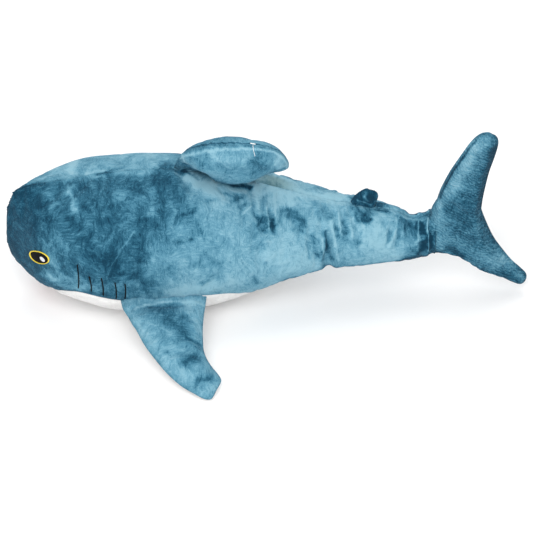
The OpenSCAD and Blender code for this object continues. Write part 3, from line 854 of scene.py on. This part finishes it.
# half thickness against height, shares of it along the fin, and the room of the near face
DORSAL_FULL = ([-12, 0, 6, 14, 26, 40, 56, 70, 84, 98, 110, 118],
               [5, 7, 14, 26, 32, 32, 30, 27, 24, 20, 14, 9])
DORSAL_FRONT = ([0, 15, 32, 45, 57, 80, 105], [0.2, 0.22, 0.33, 0.62, 0.9, 1, 1])
DORSAL_REAR = ([105, 125, 145, 165], [1, 0.82, 0.6, 0.45])
DORSAL_FAR = ([0, 30, 70], [0.45, 0.72, 1.03])
DORSAL_ROOM = ([13, 30, 57, 88, 110, 122, 142, 155, 162], [-3, 2.5, 10, 11, 7, 1, -6, -9, -13])

# Fins' creases and brushed patches, each between two points of the same kind, then its width
# and its depth or tone; on the rear and pectoral fins some patches are painted shade along a
# crease or painted highlight along a ridge
DORSAL_CREASES = [(8, 8, 26, 26, 6, -2), (100, 95, 140, 60, 8, -1.6), (60, 60, 120, 40, 14, 1.6)]
DORSAL_NAP = [
    (30, 50, 100, 50, 18, 0.1), (44, 26, 110, 22, 12, -0.48), (104, 96, 126, 80, 8, -0.35),
    (146, 90, 163, 57, 9, 0.8), (12, 30, 52, 56, 16, 0.25), (46, 86, 96, 98, 8, 0.5),
    (0, 44, 26, 14, 3, 0.8), (20, 2, 130, 6, 14, -0.35),
]
REAR_FIN_CREASES = [
    (10, 26, 18, 8, 3, 2.0), (20, 20, 27, 4, 5, -4.0), (2, 6, 8, 16, 3, -1.5),
    (32, 22, 34, 4, 3, 1.6),
]
# brushed pile, with painted shade along the deep crease and painted highlight along the ridges
REAR_FIN_NAP_AND_SHADE = [
    (17, 16, 24, 5, 5, -0.4), (10, 21, 9, 13, 1.8, 0.6), (9, 13, 15, 7, 1.8, 0.6),
    (31, 17, 33, 2, 3, 0.5), (-2, 4, 24, 0, 1.6, 0.7),
]
PECTORAL_CREASES = [
    (86, 75, 118, 84, 5, -3.0), (90, 96, 110, 110, 7, -1.4), (30, 6, 100, 8, 7, -1.5),
    (40, 24, 90, 20, 9, 1.5),
]
# brushed pile, with painted shade along the fin's deep crease
PECTORAL_NAP_AND_SHADE = [
    (42, 14, 92, 40, 15, -0.52), (96, 16, 122, 60, 9, 0.4), (66, 44, 88, 62, 11, -0.55),
    (84, 70, 112, 90, 9, -0.3), (89, 120, 102, 112, 10, -0.9), (92, 75, 116, 82, 2.2, -0.6),
    (58, 99, 61, 99, 3.5, -0.5), (60, 110, 90, 146, 9, 0.3), (16, 34, 40, 80, 7, 0.3),
    (106, 156, 126, 148, 8, -0.55), (18, 10, 34, 3, 1.6, 0.8), (34, 3, 72, -1, 1.6, 0.8),
    (72, -1, 124, 5, 1.6, 0.6), (44, 9, 88, 8, 7, -0.45), (96, 4, 122, 2, 7, 0.5),
    (110, 172, 126, 166, 6, 0.35),
]
TAIL_CREASES = [
    (688, 178, 718, 150, 5, -1.8), (700, 185, 730, 165, 6, 1.2), (664, 90, 690, 88, 6, -1.5),
    (664, 130, 684, 140, 6, -1.4),
]
TAIL_NAP = [
    (700, 215, 732, 290, 16, 0.3), (684, 198, 716, 278, 11, 0.7), (736, 168, 752, 275, 9, -0.65),
    (694, 112, 756, 66, 15, 0.4), (790, 38, 798, 26, 4, 0.5), (764, 44, 782, 24, 9, -0.3),
    (664, 80, 736, 42, 7, -0.55), (668, 170, 674, 200, 7, 0.6), (722, 285, 742, 296, 8, 0.45),
    (684, 96, 702, 84, 8, -0.4), (768, 68, 786, 49, 6, 0.7), (658, 150, 664, 176, 6, 0.5),
    (667, 102, 671, 158, 10, 0.55),
]


def dorsal_thickness(p, side):
    a, h = p[:, 0], p[:, 1]
    front = np.interp(a, *DORSAL_FRONT)
    full = np.interp(h, *DORSAL_FULL) * np.interp(a, *DORSAL_REAR)
    full = full * (front + (1 - front) * smooth(h, 24, 62))
    if side > 0:
        return full * np.interp(a, *DORSAL_FAR)
    # the near face is drawn in toward the trailing edge
    room = np.interp(a, *DORSAL_ROOM)
    return np.minimum(full + 2, np.maximum((room + 0.25 * h) / 0.6 + 2, 5))


def dorsal_tone(p, side):
    a, h = p[:, 0], p[:, 1]
    if side > 0:
        return -0.25 + 0.2 * smooth(h, 20, 60) + 0.25 * stroke(a, h, (80, 106), (130, 104), 14)
    return strokes_at(a, h, DORSAL_NAP)


def dorsal_fringe(p, side):
    return np.where(p[:, 1] > 26, -0.8 * side, 0)


def make_dorsal_fin():
    hinge = hinge_place("dorsal_flop")
    turn = fin_turn(9.5, 30)
    place = placer(hinge / MM + DORSAL_SHIFT, turn)
    left, right = fin_faces(
        ("dorsal_left", "dorsal_right"), ("blue_plush", "blue_plush"), DORSAL_OUTLINE,
        dorsal_thickness, place, dorsal_tone, 27, DORSAL_CREASES, fringe=dorsal_fringe)
    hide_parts("dorsal_fin_left_face", "dorsal_fin_stuffing")
    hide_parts("dorsal_fin_right_face", "dorsal_fin_root_seam")
    up = turn[:, 2]
    rows = fin_rows((left, right), "torso", "dorsal_fin", hinge - up * 0.008, hinge + up * 0.014)
    return rows, make_fastener(left, place, turn)


def rear_fin_thickness(p, side):
    return np.full(len(p), 9.0)


def rear_fin_tone(p, side):
    return -0.66 + strokes_at(p[:, 0], p[:, 1], REAR_FIN_NAP_AND_SHADE)


def make_rear_fin():
    hinge = hinge_place("rear_dorsal_flop")
    turn = fin_turn(12.5, 6)
    left, right = fin_faces(
        ("rear_fin_left", "rear_fin_right"), ("blue_plush", "blue_plush"), REAR_FIN_OUTLINE,
        rear_fin_thickness, placer(hinge / MM, turn), rear_fin_tone, 9, REAR_FIN_CREASES,
        step=1.8, seam_pull=1.2, pucker=0.7)
    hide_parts("rear_fin_left_face", "rear_fin_stuffing")
    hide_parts("rear_fin_right_face", "rear_fin_root_seam")
    up = turn[:, 2]
    return fin_rows((left, right), "rear_body", "rear_dorsal_fin", hinge - up * 0.004,
                    hinge + up * 0.006)


def pectoral_thickness(p, side):
    h = p[:, 1]
    return 15.5 * (0.55 + 0.45 * smooth(h, 0, 50)) * (1 - 0.35 * smooth(h, 110, 180))


def pectoral_tone(p, side):
    """The upper face is brushed; the lower, white one is even."""
    if side < 0:
        return np.zeros(len(p))
    return 0.24 + strokes_at(p[:, 0], p[:, 1], PECTORAL_NAP_AND_SHADE)


def make_pectoral_fin(word, side):
    hinge = hinge_place(f"{word}_pectoral_flap")
    mirror = np.array([1, -side, 1])
    turn = fin_turn(0, 107, 4)
    on_left = placer(np.array([hinge[0], -abs(hinge[1]), hinge[2]]) / MM, turn)

    def place(a, y, h):
        out = on_left(a, y, h) * mirror
        out[..., 2] = np.maximum(out[..., 2], 0.6)
        return out

    lower, upper = fin_faces(
        (f"{word}_pectoral_lower", f"{word}_pectoral_upper"), ("white_plush", "blue_plush"),
        PECTORAL_OUTLINE, pectoral_thickness, place, pectoral_tone, 30, PECTORAL_CREASES)
    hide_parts(f"{word}_pectoral_upper_face", f"{word}_pectoral_root_seam")
    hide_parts(f"{word}_pectoral_lower_face", f"{word}_pectoral_stuffing")
    out = turn[:, 2] * mirror
    return fin_rows((upper, lower), "torso", f"{word}_pectoral_fin", hinge - out * 0.010,
                    hinge + out * 0.018)


def tail_thickness(p, side):
    return 24 - 6 * smooth(np.abs(p[:, 1] - 112), 35, 110) - 4 * smooth(p[:, 0], 710, 780)


def tail_tone(p, side):
    return -0.46 + strokes_at(p[:, 0], p[:, 1], TAIL_NAP)


def tail_fringe(p, side):
    return np.where((p[:, 0] < 722) & (p[:, 1] > 184), -1.0, 0)


def make_tail_fin():
    left, right = fin_faces(
        ("tail_left", "tail_right"), ("blue_plush", "blue_plush"), TAIL_OUTLINE, tail_thickness,
        placer(np.array([SNOUT_X, 0, 0]), np.eye(3)), tail_tone, 15, TAIL_CREASES,
        fringe=tail_fringe)
    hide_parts("tail_left_face")
    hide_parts("tail_right_face", "tail_stuffing")
    return fin_rows((left, right), "rear_body", "tail_fin", (0.254, 0, 0.11), (0.300, 0, 0.11))


# where the tag was, in the dorsal fin's coordinates
TAG_A, TAG_H = 101.5, 115.0


def make_fastener(near_face, place, turn):
    """The T-bar and thin filament left in the dorsal fin when its tag was pulled off."""
    tree = surface_tree(near_face)
    bar = [place(TAG_A + x, 2.0, TAG_H - 0.12 * x) for x in np.linspace(-4.4, 4.4, 14)]
    bar = np.array(bar) + turn @ np.array([0, -0.6, 0.8]) * 1.2
    stem = []
    for k in np.linspace(0, 1, 24):
        guess = place(TAG_A + 6 * k, -15 * k - 1, TAG_H - 10 * k)
        point, normal = tree.find_nearest(Vector(guess) * MM)[:2]
        stem.append(np.array(point) / MM + np.array(normal) * (0.6 + math.sin(math.pi * k)))
    stem[0] = bar[7]
    points, faces = join_parts([thread_tube(bar, 0.75, 0.0), thread_tube(stem, 0.32, 0.0, 8)])
    piece = outward_faces(new_piece("tag_t_bar", points, faces, "white_plastic"))
    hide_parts("tag_fastener")
    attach(piece, "dorsal_fin")
    return piece


# ---------------------------------------------------------------- eyes, gills and mouth


def surface_tree(piece):
    mesh = piece.data
    return BVHTree.FromPolygons([v.co.copy() for v in mesh.vertices],
                                [tuple(p.vertices) for p in mesh.polygons])


def on_surface(tree, s, angle, side, lift):
    """Points a little above the made fabric, over points of the CAD's smooth body."""
    point = base_point(s, angle, side)
    normal = base_normal(s, angle, side)
    flat_p, flat_n = point.reshape(-1, 3), normal.reshape(-1, 3)
    lifts = np.broadcast_to(lift, np.shape(s)).ravel()
    made = []
    for p, n, h in zip(flat_p, flat_n, lifts):
        start = Vector((p + n * 15) * MM)
        hit = tree.ray_cast(start, Vector(-n), 0.04)[0]
        base = np.array(hit) / MM if hit is not None else p
        made.append(base + n * h)
    return np.array(made).reshape(point.shape)


# the middle of the eye, its tilt, half its length and height, and the width of its rim
EYE_S, EYE_Z, EYE_TILT = 53.5, 119.8, 36.0
EYE_LONG, EYE_SHORT, RIM = 15.2, 9.0, 1.7


def eye_position(radial, turn, ds=0.0, dz=0.0, long=EYE_LONG, short=EYE_SHORT):
    tilt = math.radians(EYE_TILT)
    a, b = radial * long * np.cos(turn), radial * short * np.sin(turn)
    s = EYE_S + ds + a * math.cos(tilt) - b * math.sin(tilt)
    z = EYE_Z + dz + a * math.sin(tilt) + b * math.cos(tilt)
    return s, flank_angle(s, z)


def outward_faces(piece):
    mesh = bmesh.new()
    mesh.from_mesh(piece.data)
    bmesh.ops.recalc_face_normals(mesh, faces=mesh.faces)
    mesh.to_mesh(piece.data)
    mesh.free()
    return piece


def rim_height(r, t, s, angle):
    dome = np.sin(np.linspace(0.12, math.pi - 0.12, len(r)))[:, None]
    return 0.5 + 1.3 * dome + 0.16 * np.sin(60 * t)


def pupil_height(r, t, s, angle):
    dome = np.sqrt(np.maximum(1.05 - r**2, 0))
    return 0.45 + 0.75 * dome + 0.10 * np.sin((s * 0.9 + angle) * 3.2)


def glint_height(r, t, s, angle):
    return 1.35 + 0.45 * np.sqrt(np.maximum(1.02 - r**2, 0))


# name, thread, radii, step between the points of a turn, height over the fabric, lower side's
# height, then shift and size where they aren't the eye's own
EYE_PATCHES = [
    ("rim", "yellow_thread", np.linspace(1.0, 1.0 + RIM / 13, 7), 1, rim_height, -0.6, ()),
    ("pupil", "black_thread", np.append(0.02, np.linspace(0.1, 1.02, 16)), 3, pupil_height, -0.6, ()),
    ("glint", "white_thread", np.array([0.03, 0.35, 0.7, 0.9, 1.0]), 5, glint_height, 0.3,
     (5.2, 1.0, 3.5, 4.0)),
]


def make_eye(word, side, tree):
    """The embroidered patches of one eye."""
    turns = np.linspace(0, 2 * np.pi, 180, endpoint=False)
    made = []
    for part, slot, radii, every, height, depth, place in EYE_PATCHES:
        r, t = np.meshgrid(radii, turns[::every], indexing="ij")
        s, angle = eye_position(r, t, *place)
        points, faces = grid_slab(on_surface(tree, s, angle, side, height(r, t, s, angle)),
                                  on_surface(tree, s, angle, side, depth), wrapped=True)
        patch = outward_faces(new_piece(f"{word}_eye_{part}_stitching", points, faces, slot))
        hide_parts(f"{word}_eye_{part}")
        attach(patch, "torso")
        made.append(patch)
    return made


def thread_tube(path, radius, twist=1.6, around=10):
    """Points and faces of a twisted thread along a path, with closed ends."""
    path = np.asarray(path, float)
    n = len(path)
    tangent = unit(np.gradient(path, axis=0))
    first = np.cross(tangent, (0, 0, 1.0))
    first[np.linalg.norm(first, axis=1) < 1e-3] = (0, 1.0, 0)
    first = unit(first)
    second = np.cross(tangent, first)
    to_end = np.minimum(np.arange(n), np.arange(n)[::-1])
    taper = np.minimum(1.0, 0.25 + 0.5 * to_end)[:, None]
    t = 2 * np.pi * np.arange(around) / around
    r = radius * taper * (1 + 0.14 * np.cos(2 * t - path_lengths(path)[:, None] * twist))
    points = (path[:, None] + first[:, None] * (np.cos(t) * r)[..., None]
              + second[:, None] * (np.sin(t) * r)[..., None]).reshape(-1, 3)
    ends = [list(range(around)), list(range((n - 1) * around, n * around))[::-1]]
    return points, grid_faces(n, around, wrapped=True) + ends


def join_parts(parts):
    """One set of points and faces from several."""
    points, faces = [], []
    for p, f in parts:
        shift = len(points)
        points += list(p)
        faces += [[v + shift for v in face] for face in f]
    return np.array(points), faces


def make_gills(word, side, tree):
    parts = []
    for top_s, top_z, low_s, low_z in GILLS:
        t = np.linspace(0, 1, 60)
        s = top_s + (low_s - top_s) * t + 1.2 * np.sin(t * math.pi)
        z = top_z + (low_z - top_z) * t
        wave = 0.35 * np.abs(np.sin(t * math.pi * (top_z - low_z) / 5.0))
        path = on_surface(tree, s, flank_angle(s, z), side, 0.15 + wave)
        parts.append(thread_tube(path, 1.0))
    points, faces = join_parts(parts)
    piece = outward_faces(new_piece(f"{word}_gill_thread", points, faces, "black_thread"))
    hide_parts(f"{word}_gill_stitches")
    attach(piece, "torso")
    return piece


# half the mouth's width as an angle, and s at its middle and its corners
MOUTH_ANGLE, MOUTH_MIDDLE, MOUTH_CORNER = 31.0, 62.0, 98.0


def mouth_s(angle):
    return MOUTH_MIDDLE + (MOUTH_CORNER - MOUTH_MIDDLE) * (np.abs(angle) / MOUTH_ANGLE) ** 2


def mouth_open(angle):
    return 0.6 + 8 * np.sqrt(np.maximum(0, 1 - (angle / MOUTH_ANGLE) ** 2))


def under(tree, s, angle, lift):
    """Points on the belly panel; angle is signed, negative on the left."""
    s, angle = np.broadcast_arrays(np.asarray(s, float), np.asarray(angle, float))
    left = on_surface(tree, s, np.abs(angle), -1, lift)
    right = on_surface(tree, s, np.abs(angle), 1, lift)
    return np.where((angle < 0)[..., None], left, right)


def tooth(tree, lip, middle, pitch):
    """Points and faces of one felt tooth; lip is -1 in the upper row and 1 in the lower."""
    reach = min(8.0, 0.75 * float(mouth_open(middle)))
    u, v = np.meshgrid(np.linspace(0, 1, 8), np.linspace(-1, 1, 9), indexing="ij")
    a = middle + v * (0.45 * pitch * (1 - u) ** 0.8)
    s = mouth_s(a) + lip * (mouth_open(a) + 1 - u * (reach + 1))
    puff = np.maximum(1 - v**2, 0) ** 0.5 * (1 - 0.6 * u)
    return grid_slab(under(tree, s, a, 1.6 + 1.6 * puff), under(tree, s, a, 1.3))


def make_mouth(tree):
    angles = np.linspace(-MOUTH_ANGLE, MOUTH_ANGLE, 81)
    r, a = np.meshgrid(np.linspace(-1, 1, 13), angles, indexing="ij")
    s = mouth_s(a) + r * mouth_open(a)
    points, faces = grid_slab(under(tree, s, a, 0.5 + 0.7 * (1 - r**2)), under(tree, s, a, -0.8))
    lining = outward_faces(new_piece("mouth_lining_cloth", points, faces, "pink_lining"))
    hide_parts("mouth_lining")
    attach(lining, "torso")
    made = [lining]
    for lip, count, name in ((-1, 9, "upper_teeth"), (1, 8, "lower_teeth")):
        pitch = 1.5 * MOUTH_ANGLE / count
        parts = [tooth(tree, lip, (k - (count - 1) / 2) * pitch, pitch) for k in range(count)]
        points, faces = join_parts(parts)
        teeth = outward_faces(new_piece(f"{name}_felt", points, faces, "white_felt"))
        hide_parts(name)
        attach(teeth, "torso")
        made.append(teeth)
    return made


# ---------------------------------------------------------------- materials


def srgb(*levels):
    """A linear colour from three levels of 0 to 255."""
    parts = [level / 255 for level in levels]
    return (*(c / 12.92 if c <= 0.04045 else ((c + 0.055) / 1.055) ** 2.4 for c in parts), 1)


class Nodes:
    """Small helper for wiring a material."""

    def __init__(self, name):
        self.material = bpy.data.materials.new(name)
        self.material.use_nodes = True
        self.tree = self.material.node_tree
        self.shader = self.tree.nodes["Principled BSDF"]

    def feed(self, node, inputs):
        """Give a node's inputs, by name or number, their constants and links."""
        for key, value in inputs.items():
            if isinstance(value, bpy.types.NodeSocket):
                self.tree.links.new(value, node.inputs[key])
            else:
                node.inputs[key].default_value = value

    def add(self, kind, inputs, **settings):
        """A new node with these settings, its inputs fed as in feed."""
        node = self.tree.nodes.new(kind)
        for key, value in settings.items():
            setattr(node, key, value)
        self.feed(node, inputs)
        return node

    def attribute(self, name, output="Fac"):
        node = self.add("ShaderNodeAttribute", {}, attribute_name=name, attribute_type="GEOMETRY")
        return node.outputs[output]

    def scaled(self, vector, scale, rotation):
        inputs = {"Vector": vector, "Scale": scale, "Rotation": rotation}
        return self.add("ShaderNodeMapping", inputs).outputs["Vector"]

    def noise(self, vector, scale, detail=2.0, roughness=0.5, distortion=0.0, output="Fac"):
        inputs = {"Vector": vector, "Scale": scale, "Detail": detail, "Roughness": roughness,
                  "Distortion": distortion}
        return self.add("ShaderNodeTexNoise", inputs).outputs[output]

    def math(self, operation, a, b=0.0, c=0.0):
        return self.add("ShaderNodeMath", {0: a, 1: b, 2: c}, operation=operation).outputs[0]

    def ramp(self, value, stops):
        node = self.add("ShaderNodeValToRGB", {"Fac": value})
        node.color_ramp.interpolation = "B_SPLINE"
        while len(node.color_ramp.elements) < len(stops):
            node.color_ramp.elements.new(0.5)
        for element, (position, colour) in zip(node.color_ramp.elements, stops):
            element.position = position
            element.color = colour
        return node.outputs["Color"]

    def bump(self, height, strength, distance, **inputs):
        inputs.update(Height=height, Strength=strength, Distance=distance)
        return self.add("ShaderNodeBump", inputs).outputs["Normal"]


def plush_material(name, stops, contrast, sheen_tint, fuzz, waves=0.0, shade_stops=None):
    """Short velvet pile: brushed patches, streaks of nap and fine fibres. waves adds the
    curved lines that a hand leaves in the pile, and shade_stops the grey-tinted colours of a
    painted shade, mixed in where the painted_shade attribute is."""
    m = Nodes(name)
    rest = m.attribute("rest", "Vector")
    level = m.math("MULTIPLY_ADD", m.attribute("tone"), 0.5, 0.5)
    drift = m.noise(rest, 14, output="Color")
    bend = {0: drift, 1: (0.05, 0.05, 0.05), 2: rest}
    flow = m.add("ShaderNodeVectorMath", bend, operation="MULTIPLY_ADD").outputs["Vector"]
    patches = m.noise(rest, 24, 5, 0.6, 0.8)
    blotches = m.noise(m.scaled(flow, (1.0, 0.7, 0.7), (0.4, 0.9, 0.2)), 75, 6, 0.75, 0.5)
    streaks = m.noise(m.scaled(flow, (1.0, 0.22, 0.22), (0.15, 0.5, 0.1)), 420, 4, 0.7, 0.2)
    crossed = m.noise(m.scaled(flow, (0.25, 1.0, 1.0), (0.3, 0.2, 0.6)), 300, 4, 0.7, 0.2)
    fibres = m.noise(rest, 760, 3, 0.8)
    crisp = m.add("ShaderNodeMapRange", {"From Min": 0.42, "From Max": 0.58, "Value": blotches},
                  interpolation_type="SMOOTHSTEP").outputs["Result"]
    brushed = m.add("ShaderNodeMix", {0: crisp, 2: streaks, 3: crossed}, data_type="FLOAT").outputs[0]
    for source, share_of in ((patches, 0.8), (crisp, 0.22), (brushed, 1.5), (fibres, 1.0)):
        amount = share_of * contrast
        level = m.math("ADD", level, m.math("MULTIPLY_ADD", source, amount, -0.5 * amount))
    height = m.math("MULTIPLY_ADD", brushed, 0.8, fibres)
    if waves:
        inputs = {"Vector": m.scaled(rest, (1, 1, 1), (0, -0.5, 0)), "Scale": 66, "Distortion": 13,
                  "Detail": 4, "Detail Scale": 0.9, "Detail Roughness": 0.7}
        wave = m.add("ShaderNodeTexWave", inputs, wave_type="BANDS", bands_direction="Z").outputs["Fac"]
        level = m.math("ADD", level, m.math("MULTIPLY_ADD", wave, waves, -waves / 2))
        height = m.math("MULTIPLY_ADD", wave, 1.2, height)
    # a little darker at the seams, and a dark or light line of bent pile beside them
    seam = m.attribute("seam")
    near = m.math("SUBTRACT", 1.0, m.math("MINIMUM", m.math("MULTIPLY", seam, 0.4), 1.0))
    level = m.math("MULTIPLY_ADD", near, -0.07, level)
    beside = m.math("ABSOLUTE", m.math("SUBTRACT", seam, 3.2))
    line = m.math("MAXIMUM", m.math("MULTIPLY_ADD", beside, -0.5, 1.0), 0.0)
    line = m.math("MULTIPLY", line, m.math("MULTIPLY", m.attribute("fringe"), fibres))
    level = m.math("ADD", level, line)
    colour = m.ramp(level, stops)
    # painted shade: grey-tinted colours mixed in where painted_shade is
    if shade_stops:
        inputs = {"Factor": m.math("MULTIPLY", m.attribute("painted_shade"), 0.8), "A": colour,
                  "B": m.ramp(level, shade_stops)}
        colour = m.add("ShaderNodeMix", inputs, data_type="RGBA").outputs["Result"]
    normal = m.bump(blotches, 0.6, 0.0030, Normal=m.bump(height, 0.7, 0.0012))
    m.feed(m.shader, {
        "Base Color": colour, "Normal": normal, "Roughness": 0.9, "Specular IOR Level": 0.12,
        "Sheen Weight": fuzz, "Sheen Roughness": 0.35, "Sheen Tint": sheen_tint,
    })
    return m.material


def grained_material(name, dark, light, scale, detail, roughness, bump, depth, shader):
    """A plain material whose colour and bumps follow one noise."""
    m = Nodes(name)
    grain = m.noise(m.attribute("rest", "Vector"), scale, detail, roughness)
    m.feed(m.shader, {"Base Color": m.ramp(grain, [dark, light]), "Normal": m.bump(grain, bump, depth)})
    m.feed(m.shader, shader)
    return m.material


def thread_material(name, colour, dark, gloss=0.45, shine=0.4):
    return grained_material(name, (0.3, dark), (0.62, colour), 1500, 2, 0.6, 0.6, 0.0004,
                            {"Roughness": gloss, "Specular IOR Level": shine})


def cloth_material(name, colour, dark, grain, rough=0.9):
    return grained_material(name, (0.25, dark), (0.7, colour), grain, 3, 0.65, 0.5, 0.0008,
                            {"Roughness": rough, "Sheen Weight": 0.2})


def plastic_material():
    return grained_material("tag_plastic", (0.2, srgb(228, 232, 232)), (0.8, srgb(250, 251, 250)),
                            400, 2, 0.5, 0.15, 0.0002, {"Roughness": 0.35})


def paint(pieces, material):
    for piece in pieces:
        piece.data.materials.append(material)


# colours of the pile from its darkest tone to its lightest
BLUE_STOPS = [
    (0.0, srgb(8, 48, 68)), (0.25, srgb(28, 82, 107)), (0.5, srgb(74, 131, 155)),
    (0.75, srgb(110, 161, 182)), (1.0, srgb(144, 187, 202)),
]
# colours of the painted shade on the back behind the dorsal fin
SHADE_TINT_STOPS = [(0.0, srgb(28, 66, 72)), (0.5, srgb(78, 114, 120)), (1.0, srgb(122, 154, 156))]
WHITE_STOPS = [(0.1, srgb(214, 213, 212)), (0.5, srgb(236, 235, 234)), (0.9, srgb(248, 248, 247))]
BLUE_SHEEN = (0.35, 0.6, 0.75, 1)


def main():
    make_camera()
    make_stage()
    left_flank, right_flank, belly = make_body()
    fins, fastener = make_dorsal_fin()
    fins += make_rear_fin()
    for word, side in SIDES:
        fins += make_pectoral_fin(word, side)
    fins += make_tail_fin()
    trees = {-1: surface_tree(left_flank), 1: surface_tree(right_flank)}
    eyes = [make_eye(word, side, trees[side]) for word, side in SIDES]
    rims, pupils, glints = zip(*eyes)
    gills = [make_gills(word, side, trees[side]) for word, side in SIDES]
    lining, *teeth = make_mouth(surface_tree(belly))

    faces = [row[0] for row in fins]
    undersides = [p for p in faces if "pectoral_lower" in p.name]
    tails = [p for p in faces if p.name.startswith("tail")]
    others = [p for p in faces if p not in undersides and p not in tails]
    blue = plush_material("blue_velvet", BLUE_STOPS, 0.62, BLUE_SHEEN, 0.15, shade_stops=SHADE_TINT_STOPS)
    paint([left_flank, right_flank, *others], blue)
    paint(tails, plush_material("blue_velvet_swirled", BLUE_STOPS, 0.62, BLUE_SHEEN, 0.15, waves=0.17))
    paint([belly, *undersides], plush_material("white_velvet", WHITE_STOPS, 0.5, (1, 1, 1, 1), 0.2))
    paint(rims, thread_material("yellow_thread", srgb(250, 228, 74), srgb(216, 182, 40)))
    paint([*pupils, *gills],
          thread_material("black_thread", srgb(8, 8, 10), srgb(3, 3, 5), gloss=0.8, shine=0.15))
    paint(glints, thread_material("white_thread", srgb(240, 241, 243), srgb(170, 175, 182)))
    paint([lining], cloth_material("pink_lining", srgb(206, 120, 128), srgb(170, 84, 94), 700, 0.7))
    paint(teeth, cloth_material("white_felt", srgb(246, 246, 244), srgb(222, 222, 220), 500))
    paint([fastener], plastic_material())
    for piece in (left_flank, right_flank, belly):
        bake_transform(piece)
    for piece, first, second, start, end in fins:
        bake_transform(piece)
        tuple(start)
        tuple(end)


main()
